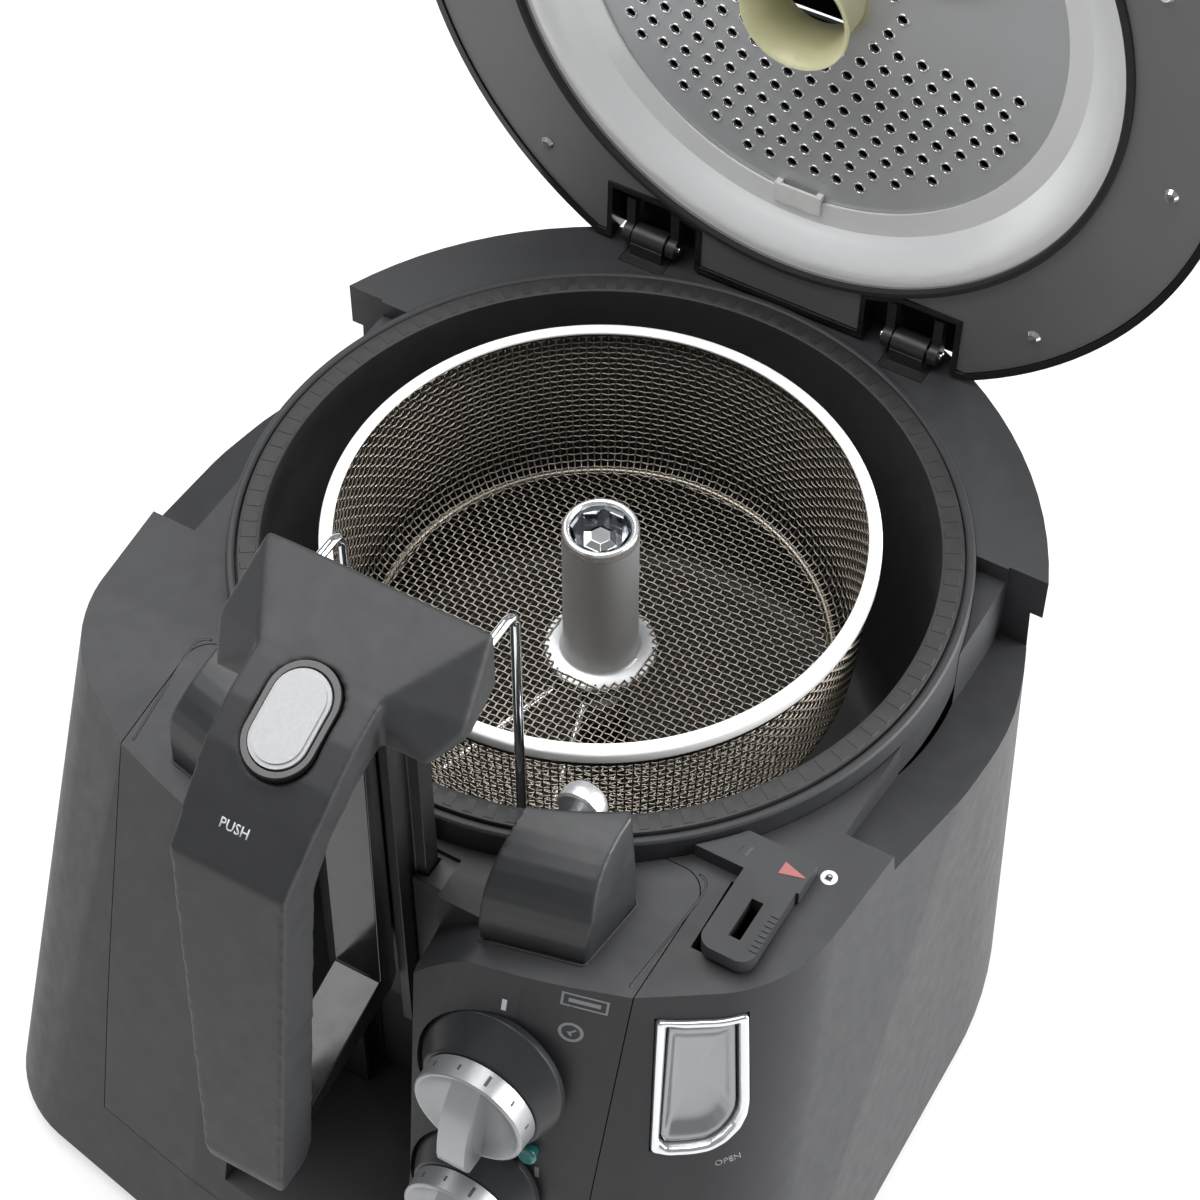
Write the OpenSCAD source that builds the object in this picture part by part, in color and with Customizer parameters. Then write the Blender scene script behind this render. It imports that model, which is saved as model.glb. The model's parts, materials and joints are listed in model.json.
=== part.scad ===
// Rotating basket deep fryer, lid open and basket raised.
// Origin: on the table, under the basket axis. X right, Y back, Z up, millimetres.

/* [Basket] */
// Outer radius of the basket rim
basket_r = 93; // [80:0.5:100]
// Height of the basket rim above the table, basket raised
rim_z = 219.5; // [205:0.5:235]
// Height of the basket
basket_h = 64; // [50:1:66]
// Outer radius of the hub column
hub_r = 13; // [12.6:0.1:14]

/* [Bowl] */
// Inner radius of the bowl at its mouth
bowl_r = 112.7; // [111:0.1:114]
// Top of the bowl flange
flange_z = 215.5; // [214:0.1:216]
// Inside floor of the bowl
bowl_floor = 80; // [78:0.5:82]
// Wall of the bowl
bowl_t = 1.8; // [1.2:0.1:2.4]
// Top of the chimney around the drive shaft
chimney_z = 120; // [110:1:121]

/* [Housing] */
// Wall of the plastic housing
wall = 2.6; // [2:0.1:3.5]
// Height of the rear shoulder
shoulder_z = 213; // [208:0.5:214]
// Half width of the control panel
panel_w = 91; // [88:0.5:92]
// Half width of the handle channel
chan_w = 24; // [20:0.5:26]

/* [Lid] */
// Height of the hinge axis
hinge_z = 219; // [218:0.5:221]
// Distance of the hinge axis behind the basket axis
hinge_y = 126; // [124:0.5:128]
// Opening angle of the lid
open_angle = 92; // [80:1:94]
// Outer radius of the lid
lid_r = 150; // [148:0.5:152]
// Height of the lid dome
dome_h = 40; // [34:1:46]

/* [Handle] */
// Travel of the basket from raised to lowered
travel = 68; // [60:1:68]
// Half width of the hood
hood_w = 41; // [36:0.5:42]
// Half width of the arm at the hood
arm_w = 21; // [18:0.5:23]

/* [Controls] */
// Radius of the thermostat knob
knob_r = 19.5; // [17:0.5:20.5]
// Radius of the timer dial
dial_r = 18.5; // [16:0.5:19]

/* [View] */
// Sub-part to draw

/* [Hidden] */
// pieces drawn together where they are fixed to one another

char = [0.27, 0.28, 0.29];
dark = [0.13, 0.13, 0.14];
alum = [0.78, 0.79, 0.80];
chrome = [0.86, 0.87, 0.88];
z_l = 217;               // underside of the closed lid
px = 57;                 // knob column
z_k1 = 155;              // thermostat knob
z_k2 = 105;              // timer dial
tilt = 13.6;             // slope of the front panel
ktilt = 3;              // slope of the knob axes
y_shift = 26.1;         // puts the origin under the middle of the bounding box
module at() translate([0, y_shift, 0]) children();
function py(z) = -153.2 - 0.242 * (204 - z);

// ---------- outlines ----------
module out_bot(d = 0) hull() {
    circle(r = 151 + d, $fn = 96);
    for (s = [-1, 1]) translate([s * 106, -146]) circle(r = 47 + d, $fn = 64);
    for (x = [-80:16:80]) translate([x, -186 + x * x / 624]) circle(r = 22 + d, $fn = 32);
}
module out_top(d = 0) hull() {
    circle(r = 143.5 + d, $fn = 96);
    for (s = [-1, 1]) translate([s * 91, -89]) circle(r = 46 + d, $fn = 64);
    for (x = [-84:14:84]) translate([x, -136 + x * x / 480]) circle(r = 22 + d, $fn = 32);
}
module slab(z) translate([0, 0, z]) linear_extrude(0.2) children();

// hand holds scooped in the two sides
module hold(e = 0) for (s = [0, 1]) mirror([s, 0, 0]) hull() {
    translate([122.4 - e, 30, 178 - e]) cube([60, 27 + e, 60]);
    translate([122.4 - e, -60 - e, 199 - e]) cube([60, 20, 40]);
}
// handle channel down the front
module channel(e = 0) translate([0, 0, 52 - e]) linear_extrude(200) polygon([
    [-chan_w - e, -126.6 + e], [chan_w + e, -126.6 + e], [chan_w + e, -141], [26 + e, -157], [34.5 + e, -182],
    [38 + e, -240], [-38 - e, -240], [-34.5 - e, -182], [-26 - e, -157], [-chan_w - e, -141]]);
// the deck falls towards the channel at the front
module corner_cut(e = 0) for (s = [-1, 1]) scale([s, 1, 1]) translate([0, -141 + e, 0]) rotate([90, 0, 0]) linear_extrude(60) polygon([
    [18, 216], [18, 182 - e], [25 + e, 186 - e], [32 + e, 193.4 - e], [39 + e, 198.6 - e], [47 + e, 202.2 - e], [47 + e, 216]]);
module deck_cut() translate([-160, -95, 206]) rotate([4.6, 0, 0]) translate([0, -150, 0]) cube([320, 150, 40]);

module skin() difference() {
    union() {
        difference() {
            hull() { slab(7) out_bot(); slab(205.8) out_top(); }
            deck_cut();
        }
        translate([0, 0, 195]) linear_extrude(shoulder_z - 195) difference() {
            circle(r = 148, $fn = 96);
            translate([-200, -144]) square([400, 200]);
        }
    }
    difference() {
        hull() { translate([0, 0, -2]) slab(0) out_bot(-wall); slab(198.4) out_top(-wall); }
        hold(wall);
        channel(wall);
        corner_cut(wall);
    }
    translate([0, 0, 60]) cylinder(r = 124.2, h = 200, $fn = 120);
    hold();
    channel();
    corner_cut();
    // pocket under the rear shoulder keeps its wall even
    translate([0, 0, 196]) linear_extrude(shoulder_z - 199) difference() {
        circle(r = 145.2, $fn = 96);
        translate([-200, -141]) square([400, 200]);
        circle(r = 127, $fn = 96);
    }
}
// outline of the control panel seen from above
module panel2d(d = 0) {
    hull() {
        translate([-panel_w - d, -260]) square([2 * panel_w + 2 * d, 121]);
        for (s = [-1, 1]) translate([s * (panel_w - 5.4), -105]) circle(r = 9 + d, $fn = 32);
    }
}
module on_panel(x, z) translate([x, py(z), z]) rotate([90 - tilt, 0, 0]) children();
module knob_at(z) translate([px, py(z) - 7.3, z]) rotate([90 - ktilt, 0, 0]) children();
module corner_at() translate([110.3, -133.1, 172.5]) rotate([0, 0, 45]) rotate([90 - 12, 0, 0]) children();
module on_arm() translate([0, -170, 310.4]) rotate([22.5, 0, 0]) children();

// ---------- base ----------
module base_plate() at() color(dark) {
    difference() {
        translate([0, 0, 4]) linear_extrude(3) out_bot(-wall - 0.6);
        for (i = [-5:5]) translate([i * 14 - 3, 20, 0]) cube([6, 70, 12]);
        for (s = [-1, 1]) for (p = [[70, -150], [78, 113]]) translate([s * p[0], p[1], 0]) cylinder(r = 2.2, h = 20, $fn = 32);
    }
    for (s = [-1, 1]) translate([s * 90 - 3, -116, 6.5]) cube([6, 194, 9]);
}
module feet() at() color([0.09, 0.09, 0.09]) for (s = [-1, 1]) for (y = [-160, 100])
    translate([s * 96, y, 0]) difference() {
        cylinder(r1 = 10, r2 = 12, h = 4, $fn = 48);
        translate([0, 0, -1]) cylinder(r = 3, h = 2.5, $fn = 32);
    }
module base_screws() at() color(chrome) for (s = [-1, 1]) for (p = [[70, -150], [78, 113]]) translate([s * p[0], p[1], 2.4]) {
    cylinder(r = 4, h = 1.6, $fn = 32);
    cylinder(r = 2, h = 10, $fn = 32);
}
module rear_vent() at() color(dark) difference() {
    intersection() {
        skin();
        translate([-38, 122, 92]) cube([76, 36, 56]);
    }
    for (i = [0:5]) translate([-32, 120, 97 + i * 8.4]) cube([64, 50, 3.6]);
}
// ---------- housing ----------
module housing() at() color(char) difference() {
    skin();
    translate([0, 0, 40]) linear_extrude(200) panel2d(0.35);
    // window of the lid release
    corner_at() translate([0, 0, -14]) linear_extrude(40) polygon(but(-0.4));
    // slot for the bowl lock
    translate([100.5, -119, 190]) cube([17, 26, 30]);
    translate([-38.3, 120, 91.7]) cube([76.6, 40, 56.6]);
    translate([0, 155, 34]) rotate([90, 0, 0]) cylinder(r = 8.2, h = 20, $fn = 48);
    for (s = [-1, 1]) translate([s * 51.8 - 8.8, 116.6, shoulder_z - 2]) cube([17.6, 13.2, 10]);
}
module control_panel() at() color(char) difference() {
    intersection() {
        skin();
        translate([0, 0, 40.4]) linear_extrude(200) panel2d(0);
    }
    for (z = [z_k1, z_k2]) {
        knob_at(z) translate([0, 0, -20]) cylinder(r = 4.6, h = 20, $fn = 32);
        for (d = [1.6, 4]) on_panel(px, z + d) translate([0, 0, -1.3]) cylinder(r = z > 140 ? 25.3 : 22.8, h = 20, $fn = 96);
    }
    on_panel(72.6, 131.6) translate([0, 0, -9]) cylinder(r = 2.6, h = 20, $fn = 32);
    // latch opening under the right hump
    translate([45, -138, 190]) cube([27, 18, 22]);
}
module hump_turn() translate([42.6, -147, 0]) rotate([0, 0, 12.8]) translate([-42.6, 147, 0]) children();
module hump_covers() at() color(dark) for (s = [-1, 1]) scale([s, 1, 1]) difference() {
    intersection() {
        hump_turn() translate([20, 0, 0]) rotate([90, 0, 90]) linear_extrude(80) polygon([
            [-147, 198], [-147, 206], [-146.7, 211], [-145.9, 216], [-144.4, 220.6], [-142, 224.8], [-138.8, 228.2],
            [-135, 230.8], [-130.8, 232.8], [-126.2, 234.3], [-121.2, 235.2], [-116, 235.5], [-106, 235.4], [-80, 234.6], [-80, 198]]);
        translate([0, -80, 0]) rotate([90, 0, 0]) linear_extrude(80) polygon([
            [42.6, 198], [79.2, 198], [78.6, 208], [77.5, 216], [75.9, 223.5], [73.9, 230], [72, 236], [42.6, 236]]);
        translate([0, 0, 198]) linear_extrude(40) polygon([[42, -149], [75, -141.4], [76.2, -138], [78.8, -115], [78, -112.6], [72, -105.4], [66, -97], [42, -97]]);
        difference() {
            deck_cut();
            translate([0, 0, 199]) cylinder(r = 125.2, h = 40, $fn = 120);
        }
    }
    intersection() {
        hump_turn() translate([20, 0, 0]) rotate([90, 0, 90]) linear_extrude(80) polygon([
            [-143.8, 190], [-143.8, 206], [-143.4, 211], [-142.6, 215.2], [-141.2, 219.2], [-139.2, 222.4], [-136.4, 225.2],
            [-133, 227.6], [-129, 229.6], [-124.8, 231], [-121, 231.8], [-121, 190]]);
        translate([46, -150, 190]) cube([25, 60, 50]);
    }
    if (s > 0) {
        translate([48.8, -127.6, 204]) cube([8.4, 10.6, 18]);
        translate([53, -127.6, 222]) rotate([-90, 0, 0]) cylinder(r = 3.5, h = 30, $fn = 48);
    }
}
module well_ring() at() color(char) rotate_extrude($fn = 180) polygon([
    [119, 209.4], [119, 212.8], [120.8, 212.8], [120.8, 214.4], [121.8, 215], [123.2, 215], [124, 214.2],
    [124, 190], [121.6, 188], [119, 188], [119, 60], [118.2, 60], [118.2, 209.4]]);
module hinge_brackets() at() color(dark) for (s = [-1, 1]) translate([s * 51.8, 0, 0]) difference() {
    union() {
        translate([-6.4, hinge_y - 5, shoulder_z - 1.8]) cube([12.8, 8.6, hinge_z - shoulder_z + 1.2]);
        translate([-6.4, hinge_y, hinge_z]) rotate([0, 90, 0]) cylinder(r = 4.6, h = 12.8, $fn = 48);
        translate([-8.6, hinge_y - 9, shoulder_z - 2]) cube([17.2, 12.4, 2]);
    }
    translate([-8, hinge_y, hinge_z]) rotate([0, 90, 0]) cylinder(r = 1.65, h = 16, $fn = 48);
}
module guide_rails() at() color(dark) for (s = [-1, 1]) scale([s, 1, 1]) translate([0, 0, 54]) linear_extrude(148) polygon([
    [chan_w, -126.6], [13.2, -126.6], [13.2, -128.6], [17.4, -128.6], [17.4, -136], [13.2, -136],
    [13.2, -138.6], [chan_w, -138.6]]);
// ---------- bowl and heating ----------
module bowl() at() color([0.12, 0.12, 0.12]) rotate_extrude($fn = 180) polygon([
    [bowl_r, flange_z - 0.4], [bowl_r + 0.4, flange_z], [119.6, flange_z], [120.2, flange_z - 0.5],
    [120.2, flange_z - 2.6], [119.2, flange_z - 2.6], [118.8, flange_z - 1.9], [bowl_r + bowl_t, flange_z - 1.9],
    [110 + bowl_t, 92], [108.5 + bowl_t, 86.4], [104.6 + bowl_t, 81.4], [98.6, bowl_floor - bowl_t],
    [10.05, bowl_floor - bowl_t], [10.05, bowl_floor],
    [98, bowl_floor], [104, 82], [108.4, 87], [110, 92]]);
module bowl_chimney() at() color([0.12, 0.12, 0.12]) rotate_extrude($fn = 96) polygon([
    [8.7, bowl_floor - bowl_t], [8.7, chimney_z], [9.6, chimney_z], [10, chimney_z - 0.4], [10, bowl_floor - bowl_t]]);
module heater_plate() at() color(alum) difference() {
    translate([0, 0, 74.6]) cylinder(r = 92, h = bowl_floor - bowl_t - 74.6, $fn = 96);
    translate([0, 0, 70]) cylinder(r = 16, h = 20, $fn = 48);
}
module heating_element() at() color([0.5, 0.42, 0.36]) {
    translate([0, 0, 70.4]) rotate([0, 0, -65]) rotate_extrude(angle = 310, $fn = 96) translate([72, 0]) circle(r = 4, $fn = 32);
    for (a = [-65, 245]) rotate([0, 0, a]) translate([72, 0, 42]) cylinder(r = 3.2, h = 28.4, $fn = 32);
}
module drive_shaft() at() color(chrome) {
    translate([0, 0, 38]) cylinder(r = 4, h = 83, $fn = 48);
    translate([0, 0, 121]) cylinder(r = 9.3, h = 10, $fn = 6);
    translate([0, 0, 131]) cylinder(r1 = 9.3, r2 = 6.6, h = 2, $fn = 6);
}
module drive_bushing() at() color([0.6, 0.5, 0.35]) for (z = [82, 106]) translate([0, 0, z]) difference() {
    cylinder(r = 8.6, h = 12, $fn = 48);
    translate([0, 0, -1]) cylinder(r = 4.05, h = 14, $fn = 48);
}
module shaft_seal() at() color([0.25, 0.1, 0.08]) translate([0, 0, 98]) difference() {
    cylinder(r = 8.6, h = 5, $fn = 48);
    translate([0, 0, -1]) cylinder(r = 4.08, h = 8, $fn = 48);
}
module gear2d(n, m) {
    circle(r = n * m / 2 - m * 1.2, $fn = 2 * n);
    for (i = [0:n - 1]) rotate([0, 0, i * 360 / n]) polygon([
        [n * m / 2 - m * 1.5, -m * 0.86], [n * m / 2, -m * 0.62], [n * m / 2 + m * 0.85, -m * 0.28],
        [n * m / 2 + m * 0.85, m * 0.28], [n * m / 2, m * 0.62], [n * m / 2 - m * 1.5, m * 0.86]]);
}
module drive_gear() at() color([0.85, 0.83, 0.76]) translate([0, 0, 44]) difference() {
    union() {
        linear_extrude(8) gear2d(36, 1.8);
        translate([0, 0, 8]) cylinder(r = 9, h = 6, $fn = 48);
    }
    translate([0, 0, -1]) cylinder(r = 4, h = 20, $fn = 48);
}
module pinion() at() color([0.85, 0.83, 0.76]) translate([43.2, 0, 0]) {
    translate([0, 0, 43.5]) linear_extrude(9) rotate([0, 0, 180 + 15 * 0]) rotate([0, 0, 15]) gear2d(12, 1.8);
    translate([0, 0, 38.4]) cylinder(r = 2.5, h = 6, $fn = 32);
}
module motor() at() color([0.62, 0.63, 0.62]) translate([43.2, 0, 0]) difference() {
    union() {
        translate([0, 0, 12]) cylinder(r = 25, h = 22, $fn = 64);
        translate([0, 0, 34]) cylinder(r = 6, h = 4, $fn = 48);
        translate([-30, -6, 31.6]) cube([60, 12, 2.4]);
    }
    translate([0, 0, 30]) cylinder(r = 2.6, h = 12, $fn = 32);
}
module motor_bracket() at() color(alum) difference() {
    union() {
        translate([-24, -34, 34.2]) cube([104, 68, 2]);
        for (x = [-22, 74]) for (y = [-31, 27]) translate([x, y, 7]) cube([4, 4, 27.2]);
    }
    translate([43.2, 0, 30]) cylinder(r = 6.4, h = 10, $fn = 48);
}
module thermostat() at() color([0.75, 0.72, 0.66]) {
    knob_at(z_k1) {
        translate([-11, -17, -40]) cube([26, 34, 19.5]);
        translate([0, 0, -20.6]) cylinder(r = 9, h = 4.6, $fn = 48);
        translate([0, 0, -20.6]) cylinder(r = 4, h = 7.6, $fn = 48);
    }
    translate([px - 2, -138, 148]) cube([4, 30, 4]);
    translate([px - 2, -112, 50]) cube([4, 4, 101]);
    translate([px - 2, -112, 50]) cube([4, 48, 4]);
    translate([px - 2, -68, 50]) cube([4, 4, 24.5]);
}
module thermal_fuse() at() color([0.9, 0.9, 0.86]) translate([-52, -30, 71.6]) {
    cube([24, 9, 3]);
    translate([-4, 4.5, 1.4]) rotate([0, 90, 0]) cylinder(r = 1, h = 32, $fn = 24);
}
module timer_unit() at() color([0.2, 0.35, 0.22]) knob_at(z_k2) {
    translate([-10, -20, -38]) cube([28, 40, 17]);
    translate([0, 0, -21.1]) cylinder(r = 8, h = 4.6, $fn = 48);
    translate([0, 0, -21.1]) cylinder(r = 4, h = 8.1, $fn = 48);
}
module terminal_block() at() color([0.85, 0.82, 0.7]) translate([-24, 100, 7]) difference() {
    cube([48, 20, 16]);
    for (i = [0:3]) translate([6 + i * 12, 10, 8]) cylinder(r = 2.2, h = 12, $fn = 32);
}
module wiring() at() color([0.7, 0.15, 0.1]) {
    translate([-73, 108, 17]) cube([49, 3, 3]);
    translate([-73, -125, 17]) cube([3, 236, 3]);
    translate([-73, -125, 17]) cube([106, 3, 3]);
    translate([30, -125, 17]) cube([3, 3, 97]);
    translate([30, -125, 111]) cube([20, 3, 3]);
    translate([48, -145, 111]) cube([3, 23, 3]);
}
module cord_gland() at() color(dark) translate([0, 0, 34]) rotate([-90, 0, 0]) difference() {
    union() {
        translate([0, 0, 138]) cylinder(r = 8, h = 14, $fn = 48);
        translate([0, 0, 150.8]) cylinder(r = 11, h = 2.4, $fn = 48);
        translate([0, 0, 153.2]) cylinder(r1 = 7, r2 = 5.4, h = 12, $fn = 48);
    }
    translate([0, 0, 130]) cylinder(r = 3.6, h = 50, $fn = 48);
}
// ---------- controls ----------
module knob_bezels() at() color(dark) {
    bezel(z_k1, 25, knob_r + 1.8);
    bezel(z_k2, 22.5, dial_r + 1.4);
}
module bezel(z, rb, rt) difference() {
    hull() {
        on_panel(px, z + 4) translate([0, 0, -1.2]) cylinder(r = rb, h = 2.6, $fn = 72);
        on_panel(px, z + 3) translate([0, 0, -1.2]) cylinder(r = rb - 1.2, h = 4.6, $fn = 72);
        knob_at(z) translate([0, 0, -1.6]) cylinder(r = rt, h = 1, $fn = 72);
        knob_at(z) translate([0, 0, -1.2]) cylinder(r = rt - 0.8, h = 0.9, $fn = 72);
    }
    knob_at(z) translate([0, 0, -20]) cylinder(r = 3.6, h = 30, $fn = 48);
}
// drum with a dished face and a raised finger grip
module turn_knob(r) {
    translate([0, 0, -12.9]) cylinder(r = 3.5, h = 13, $fn = 48);
    rotate_extrude($fn = 96) polygon([[0, 0], [r + 0.4, 0], [r, 7.2], [r - 0.5, 7.6], [r - 1.3, 7.6], [r - 2.2, 7.1], [r - 5, 5.6], [r - 9, 4.6], [0, 4.2]]);
    intersection() {
        cylinder(r1 = r + 0.3, r2 = r - 0.4, h = 18, $fn = 96);
        translate([-5, 0, 0]) rotate([90, 0, 90]) linear_extrude(10) polygon([
            [-r - 1, 4], [-r - 1, 12], [-r + 1.6, 15], [-r + 5, 17], [-r + 9, 17.6], [-4, 17.2], [4, 15.8], [10, 13.2], [r - 5, 10], [r - 1.6, 7.4], [r - 1.6, 4]]);
    }
}
module knob() at() color(chrome) knob_at(z_k1) turn_knob(knob_r);
module timer_dial() at() color(chrome) knob_at(z_k2) turn_knob(dial_r);
module indicator_lens() at() color([0.2, 0.5, 0.48]) on_panel(72.6, 131.6) translate([0, 0, -6]) {
    cylinder(r = 2.5, h = 7, $fn = 32);
    translate([0, 0, 6.1]) cylinder(r1 = 3.7, r2 = 2.9, h = 1.4, $fn = 32);
}
// slanted outline of the lid release, seen square on
function but(e) = [[-17.2 + e, -33.4 + e * 1.3], [-12, -35.4 + e], [-5, -35.4 + e], [1, -34.4 + e], [6.2 - e * 0.4, -31.6 + e * 0.9],
    [10.8 - e * 0.7, -27 + e * 0.8], [13.4 - e * 0.9, -21.6 + e * 0.5], [14.3 - e, -16], [15.4 - e, 20.7 - e], [7, 20 - e], [-4, 20.2 - e], [-12 + e, 21.2 - e]];
module button_frame() at() color(chrome) difference() {
    corner_at() linear_extrude(17.5) polygon(but(0));
    corner_at() translate([0, 0, -1]) linear_extrude(22) polygon(but(3.1));
    cutter();
}
module cutter() difference() {
    translate([60, -220, 100]) cube([140, 180, 120]);
    hull() { slab(7) out_bot(1.4); slab(205.8) out_top(1.4); }
}
module open_button() at() color(alum) {
    difference() {
        corner_at() translate([0, 0, 2]) linear_extrude(18) polygon(but(3.7));
        difference() {
            translate([60, -220, 100]) cube([140, 180, 120]);
            hull() { slab(7) out_bot(-0.6); slab(205.8) out_top(-0.6); }
        }
    }
    corner_at() translate([-3, -8, -8]) cube([6, 6, 12]);
}
module latch_slide() at() color(chrome) {
    // rounded nose over the bowl edge, its body inside the hump
    translate([53, -124, 222]) rotate([-90, 0, 0]) cylinder(r = 3, h = 20, $fn = 48);
    translate([53, -105.4, 223.8]) rotate([-90, 0, 0]) rotate_extrude($fn = 64) polygon([
        [0, 0], [7, 0], [7.8, 0.8], [7.8, 4], [7.3, 6.2], [6, 7.8], [4.2, 8.6], [0, 8.9]]);
    translate([50, -124, 206]) cube([6, 2.6, 16]);
    translate([50, -131.8, 207]) cube([6, 10.4, 5]);
    translate([48.4, -131.8, 196]) cube([9.2, 5, 16]);
}
module bowl_slider() at() color(dark) {
    difference() {
        union() {
            translate([83, -90.5, 206.3]) cube([39, 13, 5.7]);
            translate([103, -116.5, 206.3]) cube([18, 27, 5.7]);
            translate([108, -121, 206.3]) cube([9, 6, 5.7]);
            for (x = [108, 116]) translate([x, -116, 206.3]) cylinder(r = 5, h = 5.7, $fn = 48);
        }
        translate([110.4, -114, 200]) cube([4, 15, 20]);
        translate([0, 0, 200]) cylinder(r = 124.8, h = 20, $fn = 120);
    }
    translate([104.5, -110, 196]) cube([3.5, 12, 10.4]);
}
// ---------- lid, drawn closed and then turned open ----------
module swing() translate([0, hinge_y, hinge_z]) rotate([-open_angle, 0, 0]) translate([0, -hinge_y, -hinge_z]) children();
module lid2d(d = 0) difference() {
    hull() {
        intersection() {
            circle(r = lid_r + d, $fn = 144);
            translate([-200, -52]) square([400, 52 + 130.6 + d]);
        }
        circle(r = 121.5 + d, $fn = 144);
    }
    for (s = [-1, 1]) translate([s * 29.8 - 4.6 + (d < 0 ? d : 0), -200]) square([9.2 + (d < 0 ? -2 * d : 0), 104 - (d < 0 ? d : 0)]);
    // clearance for the latch nose
    translate([44.2 + (d < 0 ? d : 0), -160]) square([17.6 + (d < 0 ? -2 * d : 0), 160 - 91.6 - (d < 0 ? d : 0)]);
}
module lid_prism(z0, z1, d = 0) translate([0, 0, z0]) linear_extrude(z1 - z0) lid2d(d);
module pockets(e = 0) difference() {
    for (s = [-1, 1]) translate([s * 50.5 - 17 - e, 107 - e, 215 - e]) cube([34 + 2 * e, 40, 12.4 + 2 * e]);
    translate([0, 0, 200]) cylinder(r = 116.6 - e, h = 40, $fn = 144);
}
module dome(d = 0) rotate_extrude($fn = 144) polygon([
    [0, z_l - 5], [lid_r + 4, z_l - 5], [lid_r + 4 , z_l + 11 + d], [lid_r - 1.5 + d, z_l + 15 + d], [lid_r - 7 + d, z_l + 20 + d],
    [lid_r - 18 + d, z_l + 25.5 + d], [lid_r - 34, z_l + 30.5 + d], [lid_r - 56, z_l + 35 + d], [lid_r - 84, z_l + 38.4 + d],
    [lid_r - 115, z_l + dome_h + d], [0, z_l + dome_h + 0.6 + d]]);
module lid_shell() at() color(dark) swing() difference() {
    intersection() { dome(0); lid_prism(z_l, z_l + 60); }
    difference() {
        intersection() { dome(-2.6); lid_prism(z_l - 1, z_l + 60, -2.6); }
        pockets(2);
    }
    pockets();
    // window and filter openings
    translate([0, 0, 236]) win(0.3, 60);
    for (i = [0:7]) translate([-34, 31 + i * 7, z_l + 26]) cube([68, 3, 40]);
}
module win(d = 0, h = 1) linear_extrude(h) difference() {
    hull() for (s = [-1, 1]) translate([s * 40, -40]) circle(r = 22 + d, $fn = 64);
    circle(r = 24 - d, $fn = 64);
}
module lid_liner() at() color([0.45, 0.46, 0.47]) swing() difference() {
    union() {
        lid_prism(z_l + 0.8, z_l + 1.8, -2.9);
        difference() {
            lid_prism(z_l + 0.8, z_l + 6, -2.9);
            translate([0, 0, z_l]) linear_extrude(20) lid2d(-5);
        }
    }
    translate([0, 0, 200]) cylinder(r = 111.4, h = 40, $fn = 144);
    translate([-62, -140, 200]) cube([124, 100, 40]);
    pockets(2.1);
}
module slots(d = 0) for (s = [-1, 1]) translate([s * 29.8 - 4.6 - d, -160, 200]) cube([9.2 + 2 * d, 64 + d, 80]);
module lid_ring() at() color([0.85, 0.86, 0.87]) swing() intersection() {
    union() {
        rotate_extrude($fn = 144) polygon([
            [112.6, z_l + 1.9], [112.6, z_l + 2.9], [110, z_l + 2.9], [107.5, z_l + 3.4], [103, z_l + 5.8], [99.6, z_l + 9.2],
            [97, z_l + 11.2], [88, z_l + 12], [88, z_l + 11], [96.4, z_l + 10.2], [98.8, z_l + 8.3], [102.4, z_l + 4.9],
            [107.2, z_l + 2.4], [110, z_l + 1.9]]);
        intersection() {
            rotate_extrude($fn = 144) polygon([
                [118.4, z_l + 0.8], [118.4, z_l + 1.8], [112.6, z_l + 1.8], [112.6, z_l + 2.9], [110.6, z_l + 2.9], [110.6, z_l + 0.8]]);
            translate([-61.6, -130, 200]) cube([123.2, 80, 40]);
        }
    }
    lid_prism(z_l, z_l + 20, -3);
}
module lid_seal() at() color([0.8, 0.8, 0.78]) swing() difference() {
    rotate_extrude($fn = 144) polygon([
        [111.6, z_l + 0.8], [114.3, z_l + 0.8], [114.3, z_l - 0.6], [113.8, z_l - 1.1], [112.2, z_l - 1.1], [111.6, z_l - 0.4]]);
    translate([-66, -140, 200]) cube([132, 90, 40]);
}
module filter_plate() at() color([0.72, 0.73, 0.74]) swing() translate([0, 0, z_l + 12.2]) linear_extrude(1) difference() {
    circle(r = 97, $fn = 144);
    circle(r = 15.9, $fn = 64);
    for (i = [-9:9]) for (j = [-10:10]) {
        x = i * 8.6 + (abs(j) % 2) * 4.3;
        y = j * 7.5 + 8;
        if (norm([x, y]) < 80 && norm([x, y]) > 23 && y > -13 && !(x > 34 && y < 14)) translate([x, y]) circle(r = 1.9, $fn = 16);
    }
    difference() {
        hull() for (s = [-1, 1]) translate([s * 40, -40]) circle(r = 22.2, $fn = 64);
        circle(r = 23.8, $fn = 64);
    }
    for (s = [-1, 1]) translate([s * 29.8 - 7.6, -160]) square([15.2, 67.2]);
    translate([41, -160]) square([24, 72]);
}
module funnel() at() color([0.88, 0.87, 0.70]) swing() rotate_extrude($fn = 96) polygon([
    [15.2, z_l + 15], [15.2, z_l + 3], [16.2, z_l - 1], [18, z_l - 5.4], [19.4, z_l - 6.4], [19.8, z_l - 5.6],
    [18.2, z_l - 1], [17.2, z_l + 3], [16.9, z_l + 12], [18.6, z_l + 12], [18.6, z_l + 12.1], [15.8, z_l + 12.1], [15.8, z_l + 13.4], [18.6, z_l + 13.4], [18.6, z_l + 15]]);
module filter_clip() at() color([0.9, 0.9, 0.9]) swing() {
    translate([-9, 84.2, z_l + 9]) cube([18, 8, 1.2]);
    for (x = [-9, 6.6]) translate([x, 84.2, z_l + 9]) cube([2.4, 3, 3.1]);
}
module filter_pack() at() color([0.2, 0.2, 0.2]) swing() translate([-40, 28, z_l + 17]) cube([80, 52, 14]);
module lid_window() at() color([0.7, 0.75, 0.78, 0.5]) swing() translate([0, 0, z_l + 13.5]) win(-1.6, 3);
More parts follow.
